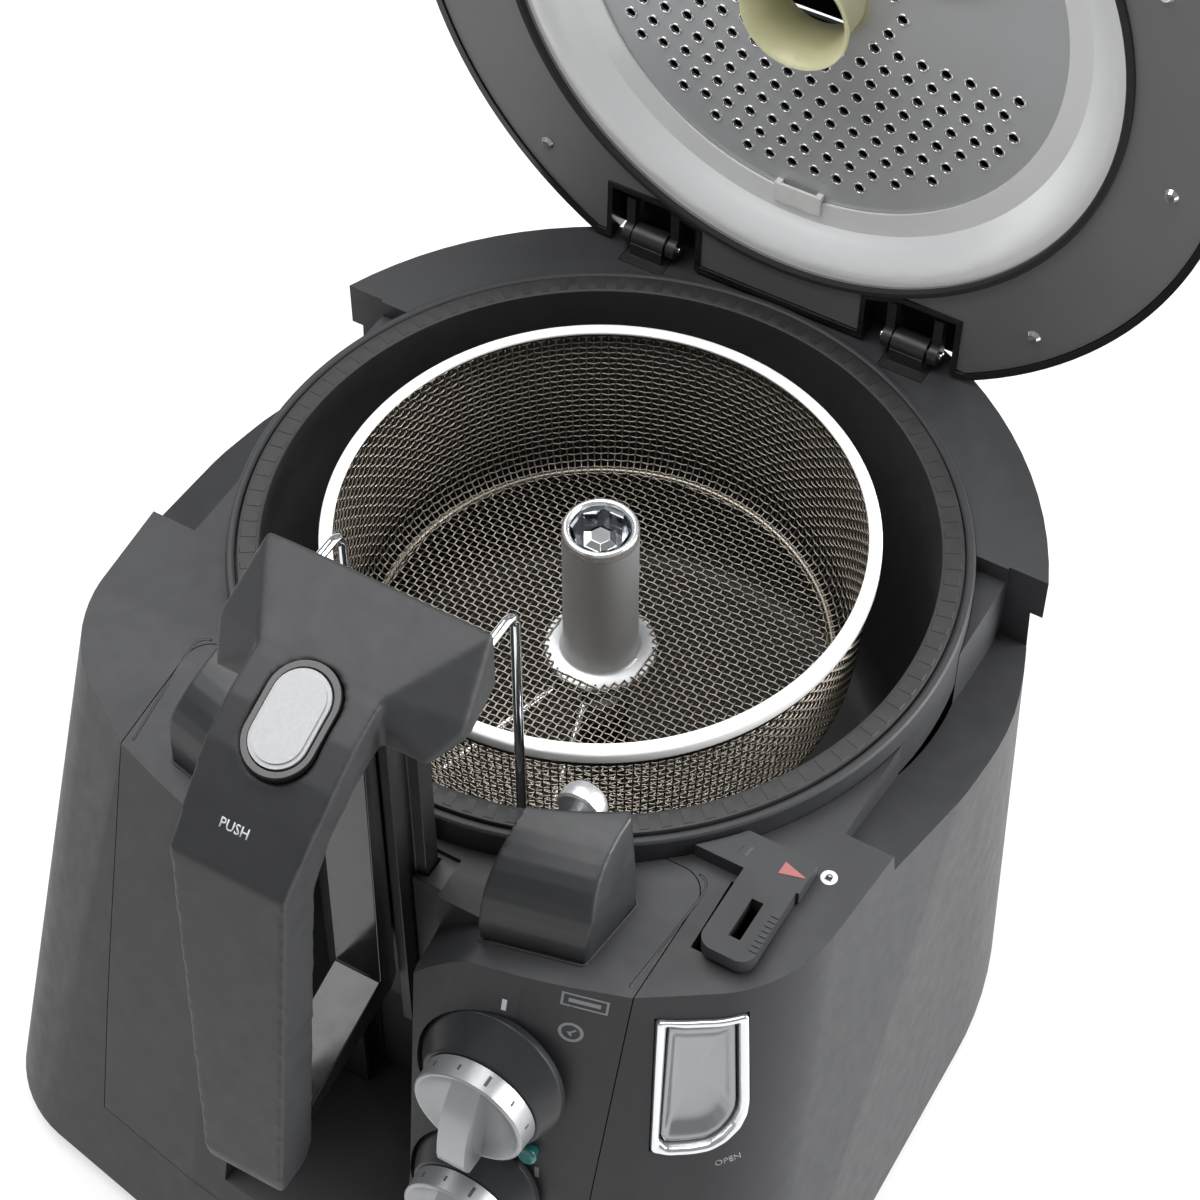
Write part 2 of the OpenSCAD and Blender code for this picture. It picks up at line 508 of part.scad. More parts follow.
module window_frame() at() color(chrome) swing() translate([0, 0, z_l + 10.4]) difference() {
    union() { win(2.6, 1.7); win(-0.2, 26); }
    translate([0, 0, -1]) win(-3, 40);
    translate([0, 0, 3]) win(-1.5, 3.2);
}
module lid_studs() at() color(chrome) swing() for (s = [-1, 1]) for (p = [[95, 99.4], [131, 20], [117, -52]])
    translate([s * p[0], p[1], z_l - 0.4]) cylinder(r1 = 1.6, r2 = 2.6, h = 1.2, $fn = 32);
module hinge_ears() at() color(dark) swing() for (s = [-1, 1]) translate([s * 51.8, 0, 0]) for (x = [-10.6, 7.2]) translate([x, 0, 0]) difference() {
    union() {
        translate([0, hinge_y, hinge_z]) rotate([0, 90, 0]) cylinder(r = 4, h = 3.4, $fn = 48);
        translate([0, 110.6, hinge_z - 0.1]) cube([3.4, 15.6, 3.4]);
        translate([0, 110.4, hinge_z - 0.1]) cube([3.4, 3.4, 8.5]);
    }
    translate([-1, hinge_y, hinge_z]) rotate([0, 90, 0]) cylinder(r = 1.6, h = 6, $fn = 48);
}
module hinge_pins() at() color(chrome) swing() for (s = [-1, 1]) translate([s * 51.8 - 11.6, hinge_y, hinge_z]) rotate([0, 90, 0]) cylinder(r = 1.6, h = 23.2, $fn = 48);

// ---------- handle and lifting frame ----------
module handle() at() color(char) difference() {
    union() {
        // hood across the top
        hull() {
            side(21) polygon([[-123, 298], [-123, 321.4], [-124.4, 321.9], [-146, 317.6], [-153.6, 315.8], [-157.6, 311], [-157, 298]]);
            side(37.5) polygon([[-123, 298], [-123, 320.6], [-124, 321.6], [-125.6, 321]]);
            side(hood_w) polygon([[-142, 299], [-143, 306.4], [-144.7, 306.6], [-146.6, 304.6], [-146, 300]]);
            side(35.4) polygon([[-154, 297.6], [-156.4, 299.6], [-157.3, 298.4], [-155.6, 296.6], [-150, 296.4]]);
        }
        // arm, bend and grip
        intersection() {
            translate([-arm_w - 1, 0, 0]) rotate([90, 0, 90]) linear_extrude(2 * arm_w + 2) polygon([
                [-124.4, 321.6], [-146, 317.4], [-158, 314.6], [-170, 310.4], [-182, 303.4], [-192, 295], [-206.6, 280.4],
                [-221.6, 138], [-221, 132.6], [-217.6, 129.4], [-212, 129.2], [-206, 134], [-203.4, 140], [-191.6, 268],
                [-183, 282], [-170, 292.6], [-152, 299.4], [-130, 302]]);
            translate([0, -110, 0]) rotate([90, 0, 0]) linear_extrude(130) polygon([
                [-arm_w, 325], [arm_w, 325], [arm_w, 300], [19.4, 281], [14.2, 133], [11, 128], [-11, 128], [-14.2, 133], [-19.4, 281], [-arm_w, 300]]);
        }
    }
    on_arm() translate([0, 0, -5]) stadium(11.7, 6.4, 20);
    // hollow under the hood
    translate([-27.2, -150.2, 290]) cube([54.4, 24.8, 14.4]);
    for (s = [-1, 1]) translate([s * 29.8 - 2.2, -147.4, 299.6]) cube([4.4, 32, 4.4]);
}
module side(w) translate([-w, 0, 0]) rotate([90, 0, 90]) linear_extrude(2 * w) children();
module stadium(r, l, h) linear_extrude(h) hull() for (s = [-1, 1]) translate([0, s * l]) circle(r = r, $fn = 64);
module handle_bezel() at() color([0.08, 0.08, 0.08]) on_arm() translate([0, 0, -5]) difference() {
    stadium(11.5, 6.4, 5.4);
    translate([0, 0, -1]) stadium(9.3, 6.1, 20);
}
module push_button() at() color(chrome) on_arm() translate([0, 0, -2.4]) {
    stadium(9, 6.1, 3.4);
    translate([0, 0, 3.3]) stadium(7.8, 5.9, 0.7);
}
module button_spring() at() color(alum) on_arm() translate([0, 0, -4.9]) rotate_extrude($fn = 48) translate([4, 0]) square([1, 2.4]);
module handle_strut() at() color(dark) translate([-8.9, 0, 0]) rotate([90, 0, 90]) linear_extrude(17.8) polygon([
    [-144.6, 304.3], [-149.8, 303], [-153.6, 158], [-203.3, 140.4], [-205.6, 133.8], [-203.6, 133.2],
    [-148, 147.6], [-145, 152]]);
module handle_post() at() color(dark) translate([0, 0, 124]) linear_extrude(180.4) polygon([
    [-12.8, -144.4], [-12.8, -135.7], [-17.1, -135.7], [-17.1, -128.9], [17.1, -128.9], [17.1, -135.7], [12.8, -135.7], [12.8, -144.4],
    [9, -144.4], [9, -138], [-9, -138], [-9, -144.4]]);
module bail() at() color(chrome) {
    for (s = [-1, 1]) scale([s, 1, 1]) {
        rod([29.8, -147, 301.8], [29.8, -100.4, 301.8], 1.6);
        translate([29.8, -100.4, 160]) cylinder(r = 1.6, h = 143.3, $fn = 12);
        rod([29.8, -100.4, 160.5], [26.6, -89.6, 151.4], 1.6);
        rod([26.8, -90.3, 151.5], [5.2, -17.5, 151.5], 1.6);
    }
    translate([0, 0, 149.8]) difference() {
        cylinder(r = 19, h = 3.4, $fn = 64);
        translate([0, 0, -1]) cylinder(r = 15.6, h = 6, $fn = 64);
    }
}
module rod(a, b, r) {
    v = b - a;
    translate(a) rotate([0, acos(v[2] / norm(v)), atan2(v[1], v[0])]) cylinder(r = r, h = norm(v), $fn = 12);
}

// ---------- basket ----------
zb = rim_z - basket_h;
module basket_rim() at() color(chrome) rotate_extrude($fn = 180) polygon([
    [basket_r - 4.6, rim_z - 0.8], [basket_r - 4.2, rim_z], [basket_r - 0.6, rim_z], [basket_r, rim_z - 0.8], [basket_r, rim_z - 5],
    [basket_r - 0.8, rim_z - 5], [basket_r - 0.8, rim_z - 1.4], [basket_r - 4.6, rim_z - 1.4]]);
module basket_cup() at() color([0.35, 0.33, 0.3]) rotate_extrude($fn = 180) polygon([
    [basket_r - 0.9, rim_z - 1.5], [basket_r - 1.8, rim_z - 1.5], [87, zb + 10], [84, zb + 3.4], [78, zb + 1.4], [hub_r + 0.1, zb + 1.4],
    [hub_r + 0.1, zb + 0.5], [79, zb + 0.5], [85, zb + 2.8], [88, zb + 10]]);
module basket_hub() at() color(alum) {
    difference() {
        union() {
            translate([0, 0, zb + 1]) cylinder(r = hub_r, h = basket_h - 5, $fn = 64);
            translate([0, 0, zb - 1.6]) cylinder(r = 19.6, h = 2, $fn = 64);
            translate([0, 0, zb]) cylinder(r = hub_r, h = 2, $fn = 64);
        }
        translate([0, 0, zb - 3]) cylinder(r = 11.7, h = 37, $fn = 64);
        translate([0, 0, zb + 33]) cylinder(r = 9.85, h = 15, $fn = 6);
        translate([0, 0, rim_z - 13]) cylinder(r = 10.6, h = 20, $fn = 64);
    }
}
module hub_cap() at() color(chrome) translate([0, 0, rim_z - 4]) difference() {
    union() {
        cylinder(r = hub_r, h = 3, $fn = 96);
        translate([0, 0, 3]) cylinder(r1 = hub_r, r2 = hub_r - 1, h = 1, $fn = 96);
    }
    translate([0, 0, -1]) cylinder(r = 10, h = 9, $fn = 8);
}
module hub_nut() at() color(chrome) translate([0, 0, rim_z - 13]) {
    cylinder(r = 10.5, h = 1.4, $fn = 48);
    cylinder(r = 6.4, h = 6.6, $fn = 6);
    translate([0, 0, 6.6]) cylinder(r1 = 6.2, r2 = 3.6, h = 1.6, $fn = 6);
}

base_plate();
feet();
housing();
control_panel();
hump_covers();
well_ring();
bowl();
bowl_chimney();
heater_plate();
heating_element();
thermostat();
thermal_fuse();
timer_unit();
motor();
motor_bracket();
pinion();
drive_gear();
drive_shaft();
drive_bushing();
shaft_seal();
terminal_block();
wiring();
cord_gland();
rear_vent();
hinge_brackets();
guide_rails();
latch_slide();
button_frame();
open_button();
bowl_slider();
knob_bezels();
knob();
timer_dial();
indicator_lens();
base_screws();
lid_shell();
lid_liner();
lid_ring();
lid_seal();
filter_plate();
filter_pack();
filter_clip();
funnel();
lid_window();
window_frame();
lid_studs();
hinge_ears();
hinge_pins();
handle();
handle_strut();
handle_post();
handle_bezel();
push_button();
button_spring();
bail();
basket_rim();
basket_cup();
basket_hub();
hub_cap();
hub_nut();
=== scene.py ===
import bpy, bmesh, json, math
import numpy as np
from mathutils import Vector, Matrix


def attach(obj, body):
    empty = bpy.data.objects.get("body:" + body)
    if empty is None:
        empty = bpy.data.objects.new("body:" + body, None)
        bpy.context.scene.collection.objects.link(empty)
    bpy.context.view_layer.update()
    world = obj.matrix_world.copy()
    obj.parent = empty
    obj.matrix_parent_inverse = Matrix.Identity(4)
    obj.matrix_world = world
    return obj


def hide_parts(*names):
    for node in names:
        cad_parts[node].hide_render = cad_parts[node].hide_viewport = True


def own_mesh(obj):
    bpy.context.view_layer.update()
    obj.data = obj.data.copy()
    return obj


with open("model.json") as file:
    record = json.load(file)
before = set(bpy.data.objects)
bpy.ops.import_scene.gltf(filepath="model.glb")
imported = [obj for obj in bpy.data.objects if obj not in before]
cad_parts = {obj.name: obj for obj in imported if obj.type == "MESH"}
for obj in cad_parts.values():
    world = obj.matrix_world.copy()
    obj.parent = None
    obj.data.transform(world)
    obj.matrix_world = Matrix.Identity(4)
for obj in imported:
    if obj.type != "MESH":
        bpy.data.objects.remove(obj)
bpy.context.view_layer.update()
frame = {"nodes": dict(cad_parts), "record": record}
NODE = frame["nodes"]
BODY_OF = {n: b for b, ns in frame["record"]["behaviour"]["bodies"].items() for n in ns}
YS = 0.0261          # basket axis in the frame
scene = bpy.context.scene
col = scene.collection

# ------------------------------------------------------------------ camera
cam_data = bpy.data.cameras.new("cam")
cam_data.lens = 90.0
cam_data.sensor_width = 36.0
cam_data.clip_start = 0.05
cam = bpy.data.objects.new("cam", cam_data)
col.objects.link(cam)
right = Vector((0.86466, 0.50235, 0.0))
up = Vector((-0.39082, 0.67270, 0.62829))
back = Vector((0.31562, -0.54326, 0.77799))
loc = Vector((345.71, -595.46, 810.94 + 236)) * 0.93 + Vector((0, 26.1, 0))
m = Matrix.Identity(4)
for i in range(3):
    m[i][0], m[i][1], m[i][2], m[i][3] = right[i], up[i], back[i], loc[i] / 1000
cam.matrix_world = m
scene.camera = cam
scene.view_settings.view_transform = "Standard"
scene.view_settings.look = "None"

# ------------------------------------------------------------------ stage and light
world = bpy.data.worlds.new("studio")
scene.world = world
world.use_nodes = True
wn = world.node_tree.nodes
wn["Background"].inputs[0].default_value = (0.97, 0.985, 1.0, 1)
wn["Background"].inputs[1].default_value = 0.27


def area(name, where, aim, size, power, color=(1, 1, 1)):
    d = bpy.data.lights.new(name, "AREA")
    d.shape = "RECTANGLE"
    d.size, d.size_y = size
    d.energy = power
    d.color = color
    o = bpy.data.objects.new(name, d)
    o.location = where
    o.rotation_euler = (Vector(aim) - Vector(where)).to_track_quat("-Z", "Y").to_euler()
    col.objects.link(o)
    return o


area("key", (-0.5, 0.1, 1.85), (0, 0, 0.2), (1.8, 1.8), 46)
area("side", (1.4, 0.8, 0.75), (0.1, 0.0, 0.12), (0.9, 1.4), 50)
area("front", (-0.5, -1.7, 0.7), (0, 0, 0.2), (1.4, 0.8), 0.8)

fm = bpy.data.meshes.new("floor")
fm.from_pydata([(-6, -6, 0), (6, -6, 0), (6, 6, 0), (-6, 6, 0)], [], [(0, 1, 2, 3)])
floor = bpy.data.objects.new("floor", fm)
col.objects.link(floor)

# ------------------------------------------------------------------ materials


class Net:
    """A small helper around one material's node tree."""

    def __init__(self, name):
        self.m = bpy.data.materials.new(name)
        self.m.use_nodes = True
        self.t = self.m.node_tree
        self.bsdf = self.t.nodes["Principled BSDF"]
        self.pos = None

    def node(self, kind, **kw):
        n = self.t.nodes.new(kind)
        for k, v in kw.items():
            setattr(n, k, v)
        return n

    def link(self, a, b):
        self.t.links.new(a, b)

    def coord(self):
        if self.pos is None:
            self.pos = self.node("ShaderNodeTexCoord").outputs["Object"]
        return self.pos

    def mapped(self, scale=(1, 1, 1), rot=(0, 0, 0), loc=(0, 0, 0)):
        mp = self.node("ShaderNodeMapping")
        self.link(self.coord(), mp.inputs[0])
        mp.inputs["Scale"].default_value = scale
        mp.inputs["Rotation"].default_value = rot
        mp.inputs["Location"].default_value = loc
        return mp.outputs[0]

    def noise(self, scale, detail=2.0, rough=0.5, vec=None, dist=0.0):
        n = self.node("ShaderNodeTexNoise")
        self.link(vec or self.coord(), n.inputs["Vector"])
        n.inputs["Scale"].default_value = scale
        n.inputs["Detail"].default_value = detail
        n.inputs["Roughness"].default_value = rough
        n.inputs["Distortion"].default_value = dist
        return n.outputs["Fac"]

    def ramp(self, fac, stops):
        r = self.node("ShaderNodeValToRGB")
        self.link(fac, r.inputs[0])
        e = r.color_ramp.elements
        while len(e) < len(stops):
            e.new(0.5)
        for i, (p, c) in enumerate(stops):
            e[i].position = p
            e[i].color = (*c, 1) if len(c) == 3 else c
        return r.outputs[0]

    def rng(self, fac, a, b, c, d):
        r = self.node("ShaderNodeMapRange")
        self.link(fac, r.inputs[0])
        for i, v in enumerate((a, b, c, d)):
            r.inputs[i + 1].default_value = v
        return r.outputs[0]

    def math(self, op, a, b=None):
        n = self.node("ShaderNodeMath", operation=op)
        for i, v in enumerate((a, b)):
            if v is None:
                continue
            if isinstance(v, (int, float)):
                n.inputs[i].default_value = v
            else:
                self.link(v, n.inputs[i])
        return n.outputs[0]

    def mix(self, fac, a, b):
        n = self.node("ShaderNodeMix", data_type="RGBA")
        for i, v in ((0, fac), (6, a), (7, b)):
            if isinstance(v, (int, float)):
                n.inputs[i].default_value = v
            elif isinstance(v, tuple):
                n.inputs[i].default_value = (*v, 1)
            else:
                self.link(v, n.inputs[i])
        return n.outputs[2]

    def bump(self, height, dist, strength=1.0, normal=None):
        b = self.node("ShaderNodeBump")
        b.inputs["Distance"].default_value = dist
        b.inputs["Strength"].default_value = strength
        self.link(height, b.inputs["Height"])
        if normal is not None:
            self.link(normal, b.inputs["Normal"])
        return b.outputs[0]

    def edge(self):
        """1 along worn edges, 0 elsewhere."""
        g = self.node("ShaderNodeNewGeometry")
        return self.rng(g.outputs["Pointiness"], 0.515, 0.58, 0, 1)

    def set(self, **kw):
        for k, v in kw.items():
            s = self.bsdf.inputs[k.replace("_", " ")]
            if isinstance(v, (int, float)):
                s.default_value = v
            elif isinstance(v, tuple):
                s.default_value = (*v, 1) if len(v) == 3 and s.type == "RGBA" else v
            else:
                self.link(v, s)
        return self


def scaled(c, k):
    return tuple(min(1.0, v * k) for v in c)


def plastic(name, c, rough=0.45, grain=2600, depth=0.00003, wear=0.25, spec=0.5, vary=0.12, coat=0.0):
    """Moulded plastic: a spark-eroded grain, faint mottling, edges polished by handling."""
    n = Net(name)
    big = n.noise(9, 3)
    mott = n.noise(140, 4, 0.6)
    fine = n.noise(grain, 2, 0.6)
    tone = n.ramp(n.math("ADD", n.math("MULTIPLY", big, 0.6), n.math("MULTIPLY", mott, 0.4)),
                  [(0.32, scaled(c, 1 - vary)), (0.68, scaled(c, 1 + vary))])
    tone = n.mix(n.math("MULTIPLY", n.edge(), wear), tone, scaled(c, 1.9))
    r = n.math("ADD", n.rng(mott, 0.3, 0.7, rough - 0.05, rough + 0.05), n.math("MULTIPLY", n.math("SUBTRACT", fine, 0.5), 0.1))
    n.set(Base_Color=tone, Roughness=r, Specular_IOR_Level=spec, Normal=n.bump(fine, depth, 0.6))
    if coat:
        n.set(Coat_Weight=coat, Coat_Roughness=0.08)
    return n.m


def metal(name, c, rough=0.25, brush=None, scratch=0.5, aniso=0.0, vary=0.06, metallic=1.0):
    """Metal with fine scratches. brush is the scale of the grain along X, Y and Z."""
    n = Net(name)
    big = n.noise(22, 3)
    v = n.mapped(brush) if brush else None
    fine = n.noise(1.0 if brush else 1500, 4, 0.65, v)
    tone = n.ramp(n.math("ADD", n.math("MULTIPLY", big, 0.5), n.math("MULTIPLY", fine, 0.5)),
                  [(0.3, scaled(c, 1 - vary)), (0.7, scaled(c, 1 + vary))])
    r = n.math("ADD", n.rng(fine, 0.3, 0.7, rough * 0.8, rough * 1.2), n.rng(big, 0.3, 0.7, -0.02, 0.03))
    n.set(Base_Color=tone, Metallic=metallic, Roughness=r, Anisotropic=aniso, Normal=n.bump(fine, 0.000006 * scratch, 0.4))
    return n.m


def paint(node, mat):
    o = NODE[node]
    o.data.materials.clear()
    o.data.materials.append(mat)


CH = (0.0290, 0.0297, 0.0318)
BK = (0.014, 0.014, 0.015)
M = {}
M["char"] = plastic("char_plastic", CH, 0.5, 2600, 0.00004, 0.25, 0.34)
M["char_soft"] = plastic("char_soft_plastic", (0.026, 0.027, 0.029), 0.4, 3200, 0.00002, 0.3, 0.42)
M["black"] = plastic("black_plastic", BK, 0.42, 3000, 0.00002, 0.3)
M["gloss"] = plastic("gloss_black_plastic", (0.012, 0.012, 0.013), 0.16, 1800, 0.000004, 0.2, 0.55)
M["rubber"] = plastic("rubber", (0.02, 0.02, 0.02), 0.75, 1500, 0.00004, 0.1, 0.3)
M["nonstick"] = plastic("nonstick_coating", (0.024, 0.024, 0.025), 0.48, 1900, 0.00003, 0.1, 0.35, 0.3)
M["flange"] = plastic("flange_coating", (0.020, 0.021, 0.023), 0.5, 1900, 0.00003, 0.2, 0.4)
M["alu"] = metal("satin_aluminium", (0.62, 0.63, 0.64), 0.34, None, 0.4)
M["ring_alu"] = metal("ring_aluminium", (0.93, 0.935, 0.94), 0.36, None, 0.2, 0, 0.02, 0.4)
# steel rim given a near-white colour with little metalness: the bright studio reflection is painted into its colour
M["rim_steel_painted_reflection"] = metal("rim_steel_painted_reflection", (1.0, 0.99, 0.965), 0.2, None, 0.2, 0, 0.02, 0.12)
M["chrome"] = metal("chrome", (0.80, 0.81, 0.82), 0.09, None, 0.2)
M["satin_chrome"] = metal("satin_chrome", (0.80, 0.81, 0.83), 0.3, None, 0.1, 0, 0.02, 0.8)
M["button_silver"] = metal("button_silver", (0.36, 0.365, 0.375), 0.34, None, 0.15, 0, 0.03, 0.8)
M["button_cap"] = metal("button_cap_silver", (0.36, 0.365, 0.375), 0.5, None, 0.1, 0, 0.02, 0.35)
M["steel"] = metal("steel", (0.5, 0.5, 0.5), 0.34, None, 0.5)
M["liner"] = metal("liner_steel", (0.17, 0.17, 0.175), 0.5, None, 0.8, 0, 0.1, 0.35)
M["plate"] = metal("plate_steel", (0.50, 0.505, 0.515), 0.42, None, 0.8, 0, 0.05, 0.35)
M["knob_silver"] = metal("knob_silver", (0.37, 0.375, 0.385), 0.34, None, 0.15, 0, 0.04, 0.55)
M["frame_chrome"] = metal("frame_chrome", (0.80, 0.81, 0.83), 0.2, None, 0.1, 0, 0.02, 0.9)
M["collar"] = metal("collar_steel", (0.85, 0.86, 0.87), 0.16, None, 0.3)
M["hub"] = metal("hub_aluminium", (0.60, 0.61, 0.62), 0.4, None, 1.0, 0, 0.08, 0.7)
M["lip"] = metal("lip_steel", (0.82, 0.83, 0.84), 0.22, None, 0.2, 0, 0.03, 0.85)
M["socket"] = metal("socket_steel", (0.45, 0.47, 0.5), 0.12, None, 0.2)
M["brass"] = metal("brass", (0.6, 0.47, 0.25), 0.35)
M["oxide"] = metal("oxidised_steel", (0.24, 0.19, 0.15), 0.5, None, 1.0, 0, 0.3)
M["nylon"] = plastic("nylon", (0.62, 0.58, 0.48), 0.5, 1500, 0.00002, 0.1)
M["white"] = plastic("white_plastic", (0.82, 0.82, 0.8), 0.35, 1500, 0.00001, 0.0)
M["red_wire"] = plastic("red_wire", (0.4, 0.03, 0.02), 0.5, 1500, 0.00002, 0.1)
M["green_board"] = plastic("green_board", (0.03, 0.12, 0.05), 0.5, 1500, 0.00002, 0.1)
M["foam"] = plastic("filter_foam", (0.03, 0.03, 0.03), 0.95, 500, 0.0006, 0.0, 0.2, 0.4)


def floor_mat():
    n = Net("floor_paint")
    f = n.noise(3, 4)
    n.set(Base_Color=n.ramp(f, [(0.3, (0.37, 0.37, 0.37)), (0.7, (0.39, 0.39, 0.39))]),
          Roughness=n.rng(n.noise(40, 3), 0.3, 0.7, 0.6, 0.7), Emission_Color=(1.0, 1.0, 1.0), Emission_Strength=0.6)
    return n.m


fm.materials.append(floor_mat())


def silicone():
    n = Net("silicone")
    f = n.noise(60, 3)
    n.set(Base_Color=n.ramp(f, [(0.3, (0.60, 0.58, 0.36)), (0.7, (0.66, 0.64, 0.42))]),
          Roughness=n.rng(n.noise(300, 3), 0.3, 0.7, 0.28, 0.4), Subsurface_Weight=0.35,
          Subsurface_Radius=(0.004, 0.004, 0.002), Subsurface_Scale=1.0, Normal=n.bump(f, 0.0003, 0.3))
    return n.m


def clear():
    n = Net("window_glass")
    f = n.noise(90, 3)
    n.set(Base_Color=n.ramp(f, [(0.3, (0.86, 0.89, 0.9)), (0.7, (0.9, 0.92, 0.93))]),
          Roughness=n.rng(f, 0.3, 0.7, 0.03, 0.08), IOR=1.5, Transmission_Weight=0.9)
    return n.m


def teal():
    n = Net("teal_lens")
    f = n.noise(500, 3)
    n.set(Base_Color=n.ramp(f, [(0.3, (0.02, 0.15, 0.14)), (0.7, (0.03, 0.2, 0.19))]),
          Roughness=n.rng(f, 0.3, 0.7, 0.15, 0.22), Coat_Weight=0.5)
    return n.m


M["silicone"], M["glass"], M["teal"] = silicone(), clear(), teal()

LOOK = {
    "base_plate": "black", "feet": "rubber", "housing": "char", "control_panel": "char", "hump_covers": "char_soft",
    "well_ring": "char", "bowl": "nonstick", "bowl_chimney": "nonstick", "heater_plate": "alu", "heating_element": "oxide", "thermostat": "nylon",
    "thermal_fuse": "nylon", "timer_unit": "green_board", "motor": "steel", "motor_bracket": "steel", "pinion": "nylon",
    "drive_gear": "nylon", "drive_shaft": "steel", "drive_bushing": "brass", "shaft_seal": "rubber",
    "terminal_block": "nylon", "wiring": "red_wire", "cord_gland": "rubber", "rear_vent": "black",
    "hinge_brackets": "black", "guide_rails": "black", "latch_slide": "satin_chrome", "button_frame": "satin_chrome",
    "open_button": "button_silver", "bowl_slider": "char", "knob_bezels": "char_soft", "knob": "knob_silver", "timer_dial": "knob_silver",
    "indicator_lens": "teal", "base_screws": "steel", "lid_shell": "gloss", "lid_liner": "liner", "lid_ring": "ring_alu",
    "lid_seal": "rubber", "filter_plate": "plate", "filter_pack": "foam", "filter_clip": "white", "funnel": "silicone",
    "lid_window": "glass", "window_frame": "chrome", "lid_studs": "chrome", "hinge_ears": "black",
    "hinge_pins": "chrome", "handle": "char", "handle_strut": "gloss", "handle_post": "black",
    "handle_bezel": "gloss", "push_button": "button_cap", "button_spring": "steel", "bail": "chrome",
    "basket_rim": "rim_steel_painted_reflection", "basket_cup": "steel", "basket_hub": "alu", "hub_cap": "chrome", "hub_nut": "chrome",
}
for n_, k_ in LOOK.items():
    if n_ in NODE:
        paint(n_, M[k_])

# ------------------------------------------------------------------ mesh helpers


def mesh_obj(name, verts, faces, mat, smooth=None, body=None, node=None):
    me = bpy.data.meshes.new(name)
    me.from_pydata([tuple(v) for v in verts], [], faces)
    me.update()
    o = bpy.data.objects.new(name, me)
    col.objects.link(o)
    me.materials.append(mat)
    finish_piece(o, smooth, body, node)
    return o


def finish_piece(o, smooth=None, body=None, node=None):
    if smooth is not None:
        for p in o.data.polygons:
            p.use_smooth = True
        sharp_by_angle(o.data, smooth)
    if body:
        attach(o, body)
    if node:
        names = [node] if isinstance(node, str) else list(node)
        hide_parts(*names)


def sharp_by_angle(me, deg):
    bm = bmesh.new()
    bm.from_mesh(me)
    lim = math.radians(deg)
    for e in bm.edges:
        e.smooth = not (len(e.link_faces) != 2 or e.calc_face_angle(10) > lim)
    bm.to_mesh(me)
    bm.free()


def apply_mods(o):
    dg = bpy.context.evaluated_depsgraph_get()
    dg.update()
    me = bpy.data.meshes.new_from_object(o.evaluated_get(dg), preserve_all_data_layers=True, depsgraph=dg)
    o.modifiers.clear()
    old = o.data
    o.data = me
    bpy.data.meshes.remove(old)


def clone(node, mat=None, bevel=0.8, ang=28, seg=2, smooth=35, name=None, weld=0.00002):
    """A copy of a CAD node's mesh with its sharp edges rounded off. It stands for the node."""
    src = NODE[node]
    me = src.data.copy()
    o = bpy.data.objects.new(name or node + "_finished", me)
    col.objects.link(o)
    me.materials.clear()
    me.materials.append(mat or M[LOOK[node]])
    if me.has_custom_normals:
        bpy.context.view_layer.objects.active = o
    bm = bmesh.new()
    bm.from_mesh(me)
    bmesh.ops.remove_doubles(bm, verts=bm.verts, dist=weld)
    bmesh.ops.dissolve_limit(bm, angle_limit=math.radians(1.0), verts=bm.verts, edges=bm.edges)
    for f in bm.faces:
        f.smooth = True
    bm.to_mesh(me)
    bm.free()
    if bevel:
        b = o.modifiers.new("bevel", "BEVEL")
        b.width = bevel / 1000
        b.segments = seg
        b.limit_method = "ANGLE"
        b.angle_limit = math.radians(ang)
        b.use_clamp_overlap = True
        b.harden_normals = False
        apply_mods(o)
    sharp_by_angle(o.data, smooth)
    w = o.modifiers.new("wn", "WEIGHTED_NORMAL")
    w.keep_sharp = True
    w.weight = 60
    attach(o, BODY_OF[node])
    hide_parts(node)
    return o


def lathe(name, prof, mat, body, node=None, segs=256, smooth=40, centre=(0, YS), closed=True):
    """prof is [(radius mm, z mm)]."""
    vs, fs = [], []
    n = len(prof)
    for i in range(segs):
        a = 2 * math.pi * i / segs
        for r, z in prof:
            vs.append((centre[0] + r * math.cos(a) / 1000, centre[1] + r * math.sin(a) / 1000, z / 1000))
    for i in range(segs):
        j = (i + 1) % segs
        for k in range(n if closed else n - 1):
            l = (k + 1) % n
            fs.append((i * n + k, j * n + k, j * n + l, i * n + l))
    o = mesh_obj(name, vs, fs, mat)
    bm = bmesh.new()
    bm.from_mesh(o.data)
    bmesh.ops.remove_doubles(bm, verts=bm.verts, dist=1e-7)
    bmesh.ops.recalc_face_normals(bm, faces=bm.faces)
    bm.to_mesh(o.data)
    bm.free()
    finish_piece(o, smooth, body, node)
    return o


# ------------------------------------------------------------------ basket


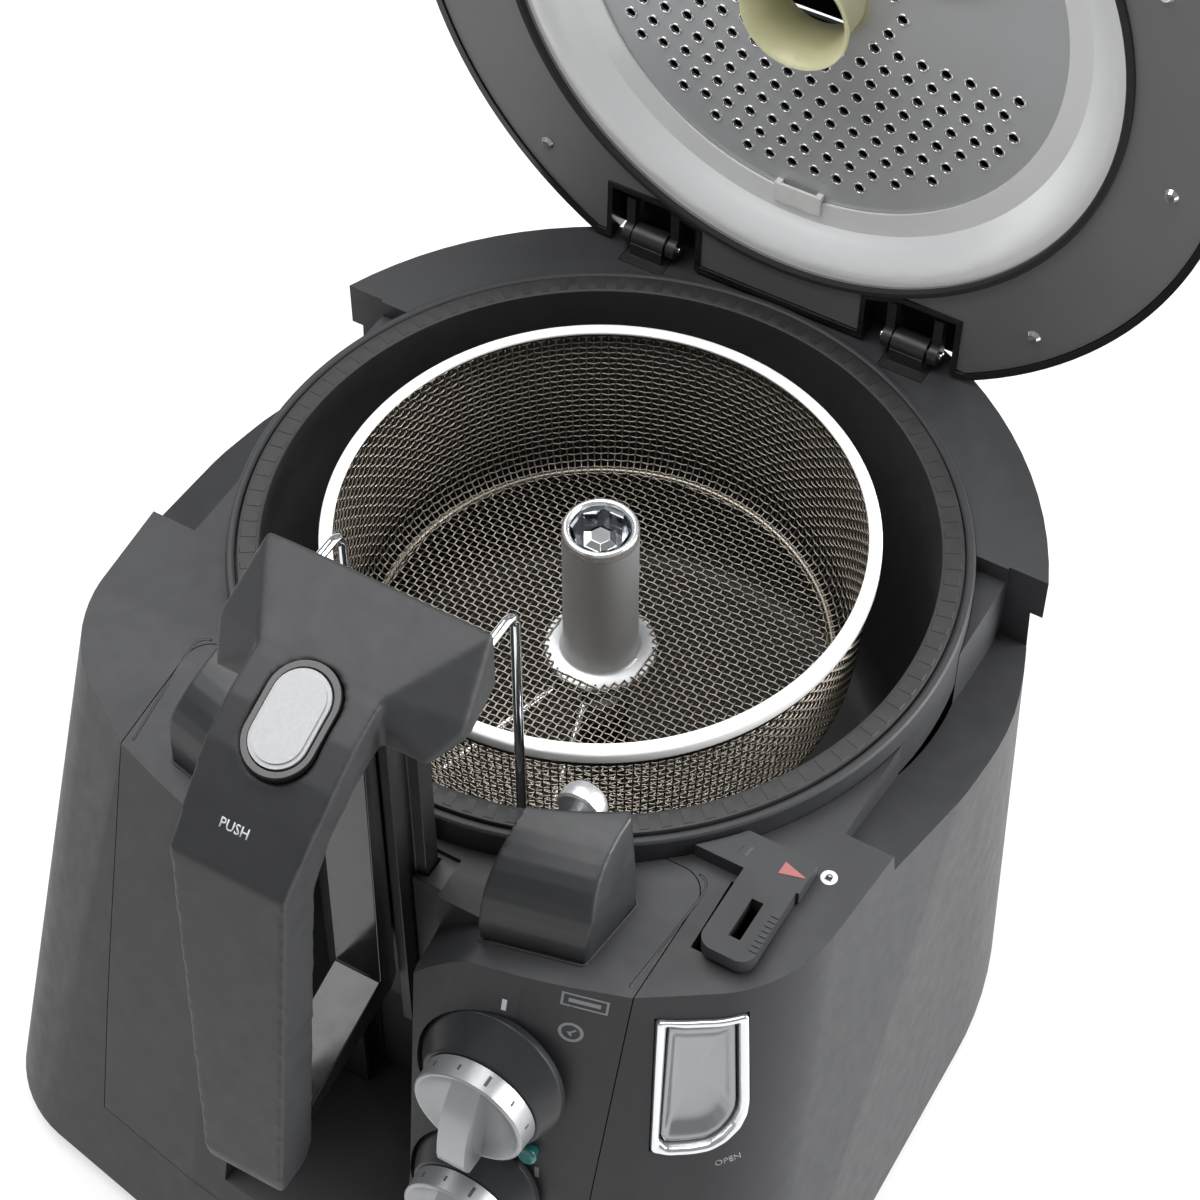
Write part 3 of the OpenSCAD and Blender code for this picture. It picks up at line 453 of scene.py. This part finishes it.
def tube(path, radius, sides, closed=False):
    """Verts and faces of a tube of this radius along a path in mm, with parallel-transported rings."""
    P = np.array(path, float)
    n = len(P)
    if closed:
        T = np.roll(P, -1, 0) - np.roll(P, 1, 0)
    else:
        T = np.gradient(P, axis=0)
    T /= np.linalg.norm(T, axis=1)[:, None]
    N = np.zeros_like(P)
    ref = np.array([0, 0, 1.0]) if abs(T[0][2]) < 0.9 else np.array([1.0, 0, 0])
    N[0] = ref - T[0] * ref.dot(T[0])
    N[0] /= np.linalg.norm(N[0])
    for i in range(1, n):
        v = N[i - 1] - T[i] * N[i - 1].dot(T[i])
        N[i] = v / np.linalg.norm(v)
    B = np.cross(T, N)
    R = radius if hasattr(radius, "__len__") else [radius] * n
    a = np.arange(sides) * 2 * math.pi / sides
    V = (P[:, None, :] + (N[:, None, :] * np.cos(a)[None, :, None] + B[:, None, :] * np.sin(a)[None, :, None])
         * np.array(R)[:, None, None]).reshape(-1, 3)
    F = []
    for i in range(n if closed else n - 1):
        j = (i + 1) % n
        for k in range(sides):
            l = (k + 1) % sides
            F.append((i * sides + k, i * sides + l, j * sides + l, j * sides + k))
    if not closed:
        F.append(tuple(range(sides - 1, -1, -1)))
        F.append(tuple((n - 1) * sides + k for k in range(sides)))
    return V, F


def join_tubes(name, tubes, mat, body, node=None, smooth=80):
    vs, fs, base = [], [], 0
    for V, F in tubes:
        vs.append(V)
        fs += [tuple(i + base for i in f) for f in F]
        base += len(V)
    vs = np.concatenate(vs)
    vs = vs / 1000 + np.array([0, YS, 0])
    me = bpy.data.meshes.new(name)
    me.from_pydata(vs.tolist(), [], fs)
    me.update()
    for p in me.polygons:
        p.use_smooth = True
    o = bpy.data.objects.new(name, me)
    col.objects.link(o)
    me.materials.append(mat)
    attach(o, body)
    if node:
        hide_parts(node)
    return o


RIM_Z, ZB = 219.5, 155.5
M["wire"] = metal("basket_wire", (0.30, 0.27, 0.23), 0.32, None, 0.6, 0, 0.25)
# wall: the profile from the hem down to the floor
prof = np.array([(91.3, 214.6), (90.9, 212), (87.6, 168), (86.9, 164), (85.0, 160.2), (82.0, 157.6), (78.5, 156.7), (77, 156.6)])
d = np.concatenate([[0], np.cumsum(np.linalg.norm(np.diff(prof, axis=0), axis=1))])
PITCH = 2.5
n_row = int(d[-1] / PITCH)
n_col = 216


def at_len(s):
    return np.interp(s, d, prof[:, 0]), np.interp(s, d, prof[:, 1])


WR, WA = 0.33, 0.3
tubes = []
for i in range(n_col):
    t = 2 * math.pi * i / n_col
    s = np.arange(0, n_row * 2 + 1) * PITCH / 2
    r, z = at_len(s)
    amp = WA * np.cos(math.pi * (s / PITCH + i))
    r = r + amp
    tubes.append(tube(np.stack([r * math.cos(t), r * math.sin(t), z], 1), WR, 5))
join_tubes("basket_wall_wires", tubes, M["wire"], "basket", "basket_cup")
tubes = []
for j in range(n_row + 1):
    r0, z0 = at_len(j * PITCH)
    t = np.arange(n_col * 2) * math.pi / n_col
    amp = -WA * np.cos(math.pi * (j + np.arange(n_col * 2) / 2))
    r = r0 + amp
    tubes.append(tube(np.stack([r * np.cos(t), r * np.sin(t), np.full_like(t, z0)], 1), WR, 5, True))
join_tubes("basket_wall_hoops", tubes, M["wire"], "basket")
tubes = []
for a in range(-32, 33):
    for flip in (0, 1):
        c = a * PITCH
        h = math.sqrt(max(0, 79.6 ** 2 - c * c))
        gap = math.sqrt(max(0, 17.5 ** 2 - c * c)) if abs(c) < 17.5 else 0
        spans = [(-h, -gap), (gap, h)] if gap else [(-h, h)]
        for lo, hi in spans:
            if hi - lo < 4:
                continue
            u = np.arange(math.ceil(lo / (PITCH / 2)), math.floor(hi / (PITCH / 2)) + 1) * PITCH / 2
            if len(u) < 3:
                continue
            z = 156.75 + WA * np.cos(math.pi * (u / PITCH + a)) * (1 if flip else -1)
            P = np.stack([u, np.full_like(u, c), z], 1) if flip else np.stack([np.full_like(u, c), u, z], 1)
            tubes.append(tube(P, WR, 4))
join_tubes("basket_floor_mesh", tubes, M["wire"], "basket")
M["dark_steel"] = metal("dark_steel", (0.10, 0.095, 0.09), 0.35, None, 0.6, 0, 0.2)
# hem band over the top of the mesh, and the ring that joins wall and floor
lathe("basket_hem", [(91.75, 218), (92.05, 217.6), (91.6, 211.4), (91.2, 210.9), (90.9, 211.2), (91.3, 217.8)],
      M["dark_steel"], "basket", None, 216, 50)
lathe("basket_floor_ring", [(80.4 + 1.1 * math.cos(a), 156.5 + 0.8 * math.sin(a)) for a in np.linspace(0, 2 * math.pi, 12, endpoint=False)],
      M["wire"], "basket", None, 216, 80)
# rolled rim, coloured near white as a painted reflection of the bright studio
rim = [(88.4, 218.9), (88.5, 219.25), (88.9, 219.5), (91.6, 219.5), (92.4, 219.3), (92.85, 218.8), (93.0, 218.2), (93.0, 215.2),
       (92.8, 214.6), (92.4, 214.5), (92.2, 214.9), (92.2, 218.0), (91.8, 218.1), (89.0, 218.1), (88.6, 218.3)]
lathe("basket_rim_rolled", rim, M["rim_steel_painted_reflection"], "basket", "basket_rim", 288, 60)

# ------------------------------------------------------------------ bowl
bp = [(112.7, 214.9), (112.85, 215.3), (113.3, 215.5), (119.3, 215.5), (119.9, 215.35), (120.2, 214.9), (120.2, 212.9), (119.2, 212.9), (118.8, 213.6),
      (114.5, 213.6), (111.8, 92), (110.3, 86.4), (106.4, 81.4), (98.6, 78.2), (10.05, 78.2), (10.05, 80),
      (97.6, 80), (101.5, 80.7), (105.2, 82.8), (108.0, 86.2), (109.5, 89.8), (110.0, 94)]
lathe("bowl_coated", bp, M["nonstick"], "base", "bowl", 256, 40)

# ------------------------------------------------------------------ shapes kept from the CAD, with softened edges


def P(x, y, z):
    return Vector((x, y + 26.1, z)) / 1000


def soft(node, voxel=0.8, steps=10, factor=0.5, mat=None, name=None, keep=0.0):
    """A copy of a node rebuilt on a fine grid and relaxed, so that every edge is moulded round."""
    o = bpy.data.objects.new(name or node + "_moulded", NODE[node].data.copy())
    col.objects.link(o)
    o.data.materials.clear()
    o.data.materials.append(mat or M[LOOK[node]])
    bm = bmesh.new()
    bm.from_mesh(o.data)
    bmesh.ops.remove_doubles(bm, verts=bm.verts, dist=0.00001)
    bm.to_mesh(o.data)
    bm.free()
    r = o.modifiers.new("grid", "REMESH")
    r.mode = "VOXEL"
    r.voxel_size = voxel / 1000
    r.use_smooth_shade = True
    w = o.modifiers.new("relax", "SMOOTH")
    w.factor = factor
    w.iterations = steps
    apply_mods(o)
    for p in o.data.polygons:
        p.use_smooth = True
    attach(o, BODY_OF[node])
    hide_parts(node)
    return o


def extra(o, node, body=None):
    """A further piece of a node: rides with it."""
    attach(o, body or BODY_OF[node])
    return o


def fillet(path, rad, n=9):
    out = [np.array(path[0], float)]
    for i in range(1, len(path) - 1):
        a, b, c = (np.array(path[k], float) for k in (i - 1, i, i + 1))
        u, v = a - b, c - b
        lu, lv = np.linalg.norm(u), np.linalg.norm(v)
        u, v = u / lu, v / lv
        half = math.acos(np.clip(u.dot(v), -1, 1)) / 2
        t = min(rad / math.tan(half), lu * 0.45, lv * 0.45)
        r = t * math.tan(half)
        ctr = b + (u + v) / np.linalg.norm(u + v) * (r / math.sin(half))
        p0, p1 = b + u * t - ctr, b + v * t - ctr
        ang = math.acos(np.clip(p0.dot(p1) / r / r, -1, 1))
        for k in range(n + 1):
            f = k / n
            out.append(ctr + (math.sin((1 - f) * ang) * p0 + math.sin(f * ang) * p1) / math.sin(ang))
    out.append(np.array(path[-1], float))
    # even sampling on the straight runs
    res = [out[0]]
    for q in out[1:]:
        L = np.linalg.norm(q - res[-1])
        k = int(L // 6)
        for j in range(1, k + 1):
            res.append(res[-1] + (q - res[-1]) * (1.0 / (k + 2 - j)))
        res.append(q)
    return np.array(res)


# handle, humps
soft("handle", 0.8, 12, 0.5)
soft("hump_covers", 0.6, 6, 0.5)
for nd, bv in (("housing", 0.9), ("control_panel", 0.9), ("handle_strut", 0.7), ("handle_post", 0.6), ("lid_shell", 0.9), ("lid_ring", 0.4),
               ("window_frame", 0.6), ("hinge_brackets", 0.6), ("hinge_ears", 0.4), ("guide_rails", 0.6), ("well_ring", 0.6), ("cord_gland", 0.6),
               ("handle_bezel", 0.5), ("indicator_lens", 0.5), ("feet", 0.8), ("base_plate", 0.5), ("filter_clip", 0.3), ("bowl_slider", 0.6), ("bowl_chimney", 0.0), ("knob", 0.5), ("timer_dial", 0.5), ("funnel", 0.0),
               ("lid_window", 0.5), ("lid_liner", 0.0), ("knob_bezels", 0.7), ("latch_slide", 0.4)):
    clone(nd, None, bv)

# bail: one wire bent to shape on each side, with the ring that carries the hub
ring = [(15.6, 0.4), (16.0, 0), (18.6, 0), (19, 0.4), (19, 3.0), (18.6, 3.4), (16.0, 3.4), (15.6, 3.0)]
tubes = []
for sx in (-1, 1):
    path = fillet([(sx * 29.8, -147, 301.8), (sx * 29.8, -100.4, 301.8), (sx * 29.8, -100.4, 160.0), (sx * 26.8, -90.3, 151.6), (sx * 5.4, -18.3, 151.6)], 5.5)
    tubes.append(tube(path, 1.6, 20))
join_tubes("bail_wires", tubes, M["chrome"], "lifting_frame", "bail")
lathe("bail_ring", [(r, 149.8 + z) for r, z in ring], M["chrome"], "lifting_frame", None, 128, 40)

# hub: tube with a rounded lip and a foot on the floor, then the faceted socket and the nut in it
HR = 13.0
lathe("hub_tube", [(HR, 215.4), (HR, ZB + 3.5), (HR + 0.4, ZB + 2.0), (HR + 1.6, ZB + 1.1), (19.2, ZB + 0.75), (19.6, ZB + 0.3), (19.6, ZB - 1.3), (19.3, ZB - 1.6),
                   (11.7, ZB - 1.6), (11.7, ZB + 34), (9.9, ZB + 34), (9.9, ZB + 48), (10.6, ZB + 51), (10.6, 215.4)],
      M["hub"], "basket", "basket_hub", 160, 40)
lathe("hub_lip", [(HR, 215.5), (HR + 0.02, 218.0), (HR - 0.3, 218.9), (HR - 1.1, 219.45), (HR - 1.9, 219.3), (10.3, 218.4), (10.1, 217.6), (10.1, 215.5)],
      M["lip"], "basket", "hub_cap", 160, 60)
vs, fs = [], []
for i in range(8):
    a = math.radians(22.5 + 45 * i)
    for r, z in ((10.2, 218.2), (9.5, 217.2), (9.0, 207.0), (10.2, 207.0)):
        vs.append((r * math.cos(a) / 1000, r * math.sin(a) / 1000 + YS, z / 1000))
for i in range(8):
    j = (i + 1) % 8
    for k in range(4):
        l = (k + 1) % 4
        fs.append((i * 4 + k, j * 4 + k, j * 4 + l, i * 4 + l))
o = mesh_obj("hub_socket", vs, fs, M["socket"])
bm = bmesh.new()
bm.from_mesh(o.data)
bmesh.ops.recalc_face_normals(bm, faces=bm.faces)
bm.to_mesh(o.data)
bm.free()
extra(o, "hub_cap")
clone("hub_nut", M["chrome"], 0.5, 25, 3)

# collars round the holes of the filter plate
SW = Matrix.Translation(P(0, 126, 219)) @ Matrix.Rotation(math.radians(-92), 4, "X") @ Matrix.Translation(-P(0, 126, 219))


def opened(v):
    """A point of the shut lid, in mm, moved to the open lid."""
    return SW @ P(*v)


vs, fs = [], []
NS, NR = 20, 8
for i in range(-9, 10):
    for j in range(-10, 11):
        x, y = i * 8.6 + (abs(j) % 2) * 4.3, j * 7.5 + 8
        r_ = math.hypot(x, y)
        if not (r_ < 80 and r_ > 23 and y > -13 and not (x > 34 and y < 14)):
            continue
        k0 = len(vs)
        for a in range(NS):
            t = 2 * math.pi * a / NS
            for b in range(NR):
                f = 2 * math.pi * b / NR
                rr = 2.05 + 0.42 * math.cos(f)
                vs.append(opened((x + rr * math.cos(t), y + rr * math.sin(t), 229.15 + 0.45 * math.sin(f))))
        for a in range(NS):
            for b in range(NR):
                c_, d_ = (a + 1) % NS, (b + 1) % NR
                fs.append((k0 + a * NR + b, k0 + a * NR + d_, k0 + c_ * NR + d_, k0 + c_ * NR + b))
o = mesh_obj("filter_plate_collars", vs, fs, M["collar"], 80)
extra(o, "filter_plate")

# stiffening ribs across the coated flange of the bowl
vs, fs = [], []
for i in range(108):
    a = 2 * math.pi * i / 108
    k = len(vs)
    w = 1.5 / 116.5
    for r, z in ((113.6, 215.3), (114.0, 215.66), (119.0, 215.66), (119.4, 215.3)):
        for s_ in (-1, 1):
            vs.append((r * math.cos(a + s_ * w) / 1000, r * math.sin(a + s_ * w) / 1000 + YS, z / 1000))
    fs += [(k, k + 1, k + 3, k + 2), (k + 2, k + 3, k + 5, k + 4), (k + 4, k + 5, k + 7, k + 6), (k, k + 2, k + 4, k + 6), (k + 1, k + 7, k + 5, k + 3), (k, k + 6, k + 7, k + 1)]
o = mesh_obj("bowl_flange_ribs", vs, fs, M["nonstick"])
extra(o, "bowl")

# ------------------------------------------------------------------ small things laid on surfaces
from mathutils.bvhtree import BVHTree


def bvh(*nodes):
    vs, fs = [], []
    for nd in nodes:
        o = NODE[nd]
        k = len(vs)
        vs += [o.matrix_world @ v.co for v in o.data.vertices]
        fs += [tuple(k + i for i in p.vertices) for p in o.data.polygons]
    return BVHTree.FromPolygons(vs, fs)


def axes(origin, u, n):
    n = Vector(n).normalized()
    u = Vector(u).normalized()
    return P(*origin), u, n.cross(u), n


def drape(name, polys, frame_, target, mat, node, lift=0.12, reach=12, sink=0.3):
    """Thin raised marks: each polygon in (u, v) mm is dropped along -n onto the target surface."""
    o0, u, v, n = frame_
    vs, fs = [], []
    for poly in polys:
        k = len(vs)
        m_ = len(poly)
        top, bot = [], []
        for a, b in poly:
            q = o0 + u * (a / 1000) + v * (b / 1000) + n * (reach / 1000)
            hit = target.ray_cast(q, -n, 3 * reach / 1000)[0]
            if hit is None:
                hit = o0 + u * (a / 1000) + v * (b / 1000)
            top.append(hit + n * (lift / 1000))
            bot.append(hit - n * (sink / 1000))
        vs += top + bot
        fs.append(tuple(range(k, k + m_)))
        fs.append(tuple(range(k + 2 * m_ - 1, k + m_ - 1, -1)))
        for i in range(m_):
            j = (i + 1) % m_
            fs.append((k + i, k + m_ + i, k + m_ + j, k + j))
    o = mesh_obj(name, vs, fs, mat)
    bm = bmesh.new()
    bm.from_mesh(o.data)
    bmesh.ops.recalc_face_normals(bm, faces=bm.faces)
    bm.to_mesh(o.data)
    bm.free()
    return extra(o, node)


def quad_ring(outer, inner):
    """A band between two outlines as separate quads."""
    n_ = len(outer)
    return [[outer[i], outer[(i + 1) % n_], inner[(i + 1) % n_], inner[i]] for i in range(n_)]


def circle_pts(cx, cy, r, n_=32):
    return [(cx + r * math.cos(2 * math.pi * i / n_), cy + r * math.sin(2 * math.pi * i / n_)) for i in range(n_)]


def bar(cx, cy, w, h, rot=0.0):
    c_, s_ = math.cos(rot), math.sin(rot)
    return [(cx + x * c_ - y * s_, cy + x * s_ + y * c_) for x, y in ((-w / 2, -h / 2), (w / 2, -h / 2), (w / 2, h / 2), (-w / 2, h / 2))]


TILT = math.radians(13.6)


def py(z):
    return -153.2 - 0.242 * (204 - z)


M["print"] = plastic("pale_print", (0.62, 0.63, 0.64), 0.5, 2000, 0.000002, 0.0)
M["grey_print"] = plastic("grey_print", (0.22, 0.225, 0.23), 0.5, 2000, 0.000002, 0.0)
M["red"] = plastic("red_print", (0.33, 0.10, 0.10), 0.5, 2000, 0.000002, 0.0)
M["ink"] = plastic("dark_ink", (0.05, 0.05, 0.055), 0.5, 2000, 0.000002, 0.0)
panel = axes((0, py(160), 160), (1, 0, 0), (0, -math.cos(TILT), math.sin(TILT)))
T_panel = bvh("control_panel")
K = 1 / math.cos(TILT)


def pz(x, z):
    return (x, (z - 160) * K)


x0, y0 = pz(57.0, 188.3)
drape("mark_one", [bar(x0, y0, 1.5, 4.6)], panel, T_panel, M["print"], "control_panel")
x0, y0 = pz(78.1, 185.4)
drape("mark_clock", quad_ring(circle_pts(x0, y0, 3.9), circle_pts(x0, y0, 2.9)) + [bar(x0 + 0.6, y0 + 0.5, 0.7, 2.4, -0.8), bar(x0 - 0.3, y0 - 0.7, 0.7, 1.9, 0.7)],
      panel, T_panel, M["grey_print"], "control_panel")
x0, y0 = pz(80.6, 198.2)
R4 = lambda w, h: [(x0 - w / 2, y0 - h / 2), (x0 + w / 2, y0 - h / 2), (x0 + w / 2, y0 + h / 2), (x0 - w / 2, y0 + h / 2)]
drape("badge_frame", quad_ring(R4(14.2, 5.4), R4(12.8, 4.2)) + [bar(x0, y0, 9.6, 1.5)], panel, T_panel, M["grey_print"], "control_panel")
x0, y0 = pz(75.4, 122.6)
drape("mark_lamp", [bar(x0, y0, 1.4, 4.4, 0.12)], panel, T_panel, M["grey_print"], "control_panel")


def words(name, text, size, frame_, at_, target, mat, node, rot=0.0, lift=0.12):
    """Function words in a plain built-in typeface, draped on a surface."""
    cu = bpy.data.curves.new(name, "FONT")
    cu.body = text
    cu.size = size / 1000
    cu.align_x = "CENTER"
    cu.align_y = "CENTER"
    cu.resolution_u = 2
    cu.offset = 0.00004
    t_ = bpy.data.objects.new(name + "_tmp", cu)
    col.objects.link(t_)
    dg = bpy.context.evaluated_depsgraph_get()
    dg.update()
    me = bpy.data.meshes.new_from_object(t_.evaluated_get(dg))
    bpy.data.objects.remove(t_)
    bpy.data.curves.remove(cu)
    o0, u, v, n = frame_
    c_, s_ = math.cos(rot), math.sin(rot)
    for q in me.vertices:
        x, y = q.co.x * 1000, q.co.y * 1000
        x, y = at_[0] + x * c_ - y * s_, at_[1] + x * s_ + y * c_
        w = o0 + u * (x / 1000) + v * (y / 1000) + n * 0.012
        hit = target.ray_cast(w, -n, 0.04)[0]
        if hit is None:
            hit = o0 + u * (x / 1000) + v * (y / 1000)
        q.co = hit + n * (lift / 1000)
    o = bpy.data.objects.new(name, me)
    col.objects.link(o)
    me.materials.clear()
    me.materials.append(mat)
    sol = o.modifiers.new("thick", "SOLIDIFY")
    sol.thickness = 0.0002
    sol.offset = -1
    apply_mods(o)
    return extra(o, node)


ARM = math.radians(22.5)
arm = axes((0, -170, 310.4), (1, 0, 0), (0, -math.sin(ARM), math.cos(ARM)))
T_arm = bvh("handle")
words("word_push", "PUSH", 4.1, arm, (-2.4, -33.0), T_arm, M["print"], "handle")
# a wound spring under the thumb button, pressed flat by it
coil = []
for i in range(81):
    t_ = i / 80
    lx, ly, lz = 4.5 * math.cos(5 * math.pi * t_), 4.5 * math.sin(5 * math.pi * t_), -4.65 + 2.0 * t_
    coil.append((lx, -170 + ly * math.cos(ARM) - lz * math.sin(ARM), 310.4 + ly * math.sin(ARM) + lz * math.cos(ARM)))
o = join_tubes("button_coil", [tube(coil, 0.2, 8)], M["steel"], "lifting_frame", "button_spring")
tuple(P(0, -170 + 4.9 * math.sin(ARM), 310.4 - 4.9 * math.cos(ARM)))
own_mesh(o)
c45, t12 = math.radians(45), math.radians(12)
corner = axes((110.3, -133.1, 172.5), (math.cos(c45), math.sin(c45), 0),
              (math.sin(c45) * math.cos(t12), -math.cos(c45) * math.cos(t12), math.sin(t12)))
T_house = bvh("housing")
words("word_open", "OPEN", 3.4, corner, (6.4, -40.6), T_house, M["grey_print"], "housing", 0.17)


# ------------------------------------------------------------------ lid release: raised frame and scooped plate
def but(e):
    return [(-17.2 + e, -33.4 + 1.3 * e), (-12, -35.4 + e), (-5, -35.4 + e), (1, -34.4 + e), (6.2 - 0.4 * e, -31.6 + 0.9 * e),
            (10.8 - 0.7 * e, -27 + 0.8 * e), (13.4 - 0.9 * e, -21.6 + 0.5 * e), (14.3 - e, -16), (15.4 - e, 20.7 - e), (7, 20 - e),
            (-4, 20.2 - e), (-12 + e, 21.2 - e)]


def rounded(e, rounds=3):
    base, q = but(0), but(e)
    out = []
    for i in range(len(q)):
        j = (i + 1) % len(q)
        k = max(1, int(round(math.dist(base[i], base[j]) / 3.6)))
        for t in range(k):
            f = t / k
            out.append((q[i][0] + (q[j][0] - q[i][0]) * f, q[i][1] + (q[j][1] - q[i][1]) * f))
    for _ in range(rounds):
        nxt = []
        for i in range(len(out)):
            a_, b_ = out[i], out[(i + 1) % len(out)]
            nxt += [(a_[0] * 0.75 + b_[0] * 0.25, a_[1] * 0.75 + b_[1] * 0.25), (a_[0] * 0.25 + b_[0] * 0.75, a_[1] * 0.25 + b_[1] * 0.75)]
        out = nxt
    return np.array(out)


def heights(pts, frame_, target, start=40.0):
    o0, u, v, n = frame_
    h = []
    for a_, b_ in pts:
        q = o0 + u * (a_ / 1000) + v * (b_ / 1000) + n * (start / 1000)
        hit = target.ray_cast(q, -n, 0.08)
        h.append(start - hit[3] * 1000 if hit[0] is not None else float("nan"))
    h = np.array(h)
    bad = np.isnan(h)
    if bad.any() and not bad.all():
        h[bad] = np.interp(np.flatnonzero(bad), np.flatnonzero(~bad), h[~bad])
    return h


def loops(name, rings, frame_, mat, body, node, cap_last=True, smooth=50):
    """Skin over closed loops of (u, v, height) points in mm."""
    o0, u, v, n = frame_
    m_ = len(rings[0])
    vs, fs = [], []
    for r_ in rings:
        vs += [o0 + u * (a_ / 1000) + v * (b_ / 1000) + n * (c_ / 1000) for a_, b_, c_ in r_]
    for k in range(len(rings) - 1):
        for i in range(m_):
            j = (i + 1) % m_
            fs.append((k * m_ + i, k * m_ + j, (k + 1) * m_ + j, (k + 1) * m_ + i))
    if cap_last:
        fs.append(tuple((len(rings) - 1) * m_ + i for i in range(m_)))
        fs.append(tuple(range(m_ - 1, -1, -1)))
    else:
        for i in range(m_):
            j = (i + 1) % m_
            fs.append(((len(rings) - 1) * m_ + i, (len(rings) - 1) * m_ + j, j, i))
    o = mesh_obj(name, vs, fs, mat)
    bm = bmesh.new()
    bm.from_mesh(o.data)
    bmesh.ops.recalc_face_normals(bm, faces=bm.faces)
    bm.to_mesh(o.data)
    bm.free()
    finish_piece(o, smooth, body, node)
    return o


T_frame = bvh("button_frame")
mid = rounded(1.55)
hf = heights(mid, corner, T_frame)
hf = np.convolve(np.r_[hf[-4:], hf, hf[:4]], np.ones(9) / 9, "valid")
rings = []
for e, dz in ((0.1, -6.0), (0.05, -1.0), (0.12, -0.45), (0.4, -0.12), (0.9, 0.0), (1.5, 0.0), (2.1, -0.15), (2.6, -0.5), (2.95, -1.1), (3.05, -6.0)):
    q = rounded(e)
    rings.append([(a_, b_, h_ + dz) for (a_, b_), h_ in zip(q, hf)])
loops("release_frame", rings, corner, M["frame_chrome"], "base", "button_frame", False)
T_btn = bvh("open_button")
out = rounded(3.9)
hb = heights(rounded(5.2), corner, T_btn)
hb = np.convolve(np.r_[hb[-4:], hb, hb[:4]], np.ones(9) / 9, "valid")
cx_, cy_ = -1.0, -7.0
rings = [[(a_, b_, h_ - 7.0) for (a_, b_), h_ in zip(out, hb)]]
hm_ = float(hb.mean())
for s_, dz in ((1.0, -0.9), (0.985, -0.55), (0.95, -0.4), (0.91, -0.45), (0.87, -0.75), (0.82, -1.5), (0.76, -2.35), (0.7, -2.85), (0.6, -3.15), (0.45, -3.35), (0.3, -3.45), (0.12, -3.5)):
    rings.append([(cx_ + (a_ - cx_) * s_, cy_ + (b_ - cy_) * s_, (h_ * s_ + hm_ * (1 - s_)) + dz) for (a_, b_), h_ in zip(out, hb)])
loops("release_plate", rings, corner, M["button_silver"], "release", "open_button", True, 70)

# ------------------------------------------------------------------ a fine lip round the foot of each hump
T_base = bvh("housing", "control_panel")
for sx, nm in ((1, "right"), (-1, "left")):
    path = []
    for x, y in fillet([(42.0, -121, 0), (42.0, -147.7, 0), (75.6, -140.1, 0), (79.2, -114.6, 0), (73.4, -105.6, 0)], 1.6, 5)[:, :2]:
        hit = T_base.ray_cast(P(sx * x, y, 240), Vector((0, 0, -1)), 0.1)[0]
        path.append((sx * x, y, hit.z * 1000 if hit is not None else 203.0))
    extra(join_tubes("hump_lip_" + nm, [tube(path, 0.55, 8)], M["char"], "base"), "hump_covers")

# ------------------------------------------------------------------ shadow gap between the deck and the control panel
for sx, nm in ((1, "right"), (-1, "left")):
    path = []
    for x, y in fillet([(79.4, -95.8, 0), (94.8, -95.8, 0), (94.8, -105, 0), (91.2, -139, 0), (91.2, -150, 0)], 8.6, 8)[:, :2]:
        hit = T_base.ray_cast(P(sx * (x - 0.8), y, 240), Vector((0, 0, -1)), 0.1)[0]
        if hit is not None and (not path or abs(hit.z * 1000 - path[-1][2]) < 3):
            path.append((sx * x, y, hit.z * 1000 - 0.3))
    extra(join_tubes("panel_seam_" + nm, [tube(path, 0.55, 8)], M["black"], "base"), "control_panel")

# ------------------------------------------------------------------ scale marks on the drums of the two knobs
KT = math.radians(3)
for nd, zc, rr in (("knob", 155, 19.75), ("timer_dial", 105, 18.75)):
    o0, u, v, n = axes((57, py(zc) - 7.3, zc), (1, 0, 0), (0, -math.cos(KT), math.sin(KT)))
    vs, fs = [], []
    for i in range(12):
        a_ = math.radians(90 - 15 + 30 * i)
        big = i % 3 == 0
        er = u * math.cos(a_) + v * math.sin(a_)
        et = u * -math.sin(a_) + v * math.cos(a_)
        k = len(vs)
        w, l0, l1 = (0.55, 1.6, 5.4) if big else (0.4, 2.6, 4.6)
        for rad in (rr - 0.5, rr + 0.13):
            for t_, l_ in ((-w, l0), (w, l0), (w, l1), (-w, l1)):
                vs.append(o0 + er * (rad - 0.04 * l_) / 1000 + et * t_ / 1000 + n * l_ / 1000)
        fs += [(k + 3, k + 2, k + 1, k), (k + 4, k + 5, k + 6, k + 7)] + [(k + j, k + (j + 1) % 4, k + 4 + (j + 1) % 4, k + 4 + j) for j in range(4)]
    extra(mesh_obj(nd + "_marks", vs, fs, M["ink"]), nd)

deck = axes((0, 0, 206), (1, 0, 0), (0, 0, 1))
T_deck = bvh("housing", "control_panel", "bowl_slider")
drape("lock_disc", [circle_pts(125.6, -77.0, 2.7, 32)], deck, T_deck, M["print"], "housing", 0.12)
drape("lock_sign", [bar(125.6, -77.4, 2.1, 1.5)] + quad_ring(circle_pts(125.6, -76.7, 1.0, 16), circle_pts(125.6, -76.7, 0.6, 16)),
      deck, T_deck, M["ink"], "housing", 0.2)
drape("slider_arrow", [[(112.9, -87.0), (121.4, -84.6), (113.1, -82.2)]], deck, T_deck, M["red"], "bowl_slider", 0.15)
drape("slider_mark", [[(89.6, -84.7), (98.6, -86.6), (99.4, -82.9)], [(100.8, -86.4), (101.8, -86.4), (102.4, -82.6), (101.4, -82.6)]], deck, T_deck, M["ink"], "bowl_slider", 0.1)
drape("slider_ribs", [bar(119.6, -115.4 + 2.0 * i, 2.4, 0.8) for i in range(8)], deck, T_deck, M["char"], "bowl_slider", 0.35)
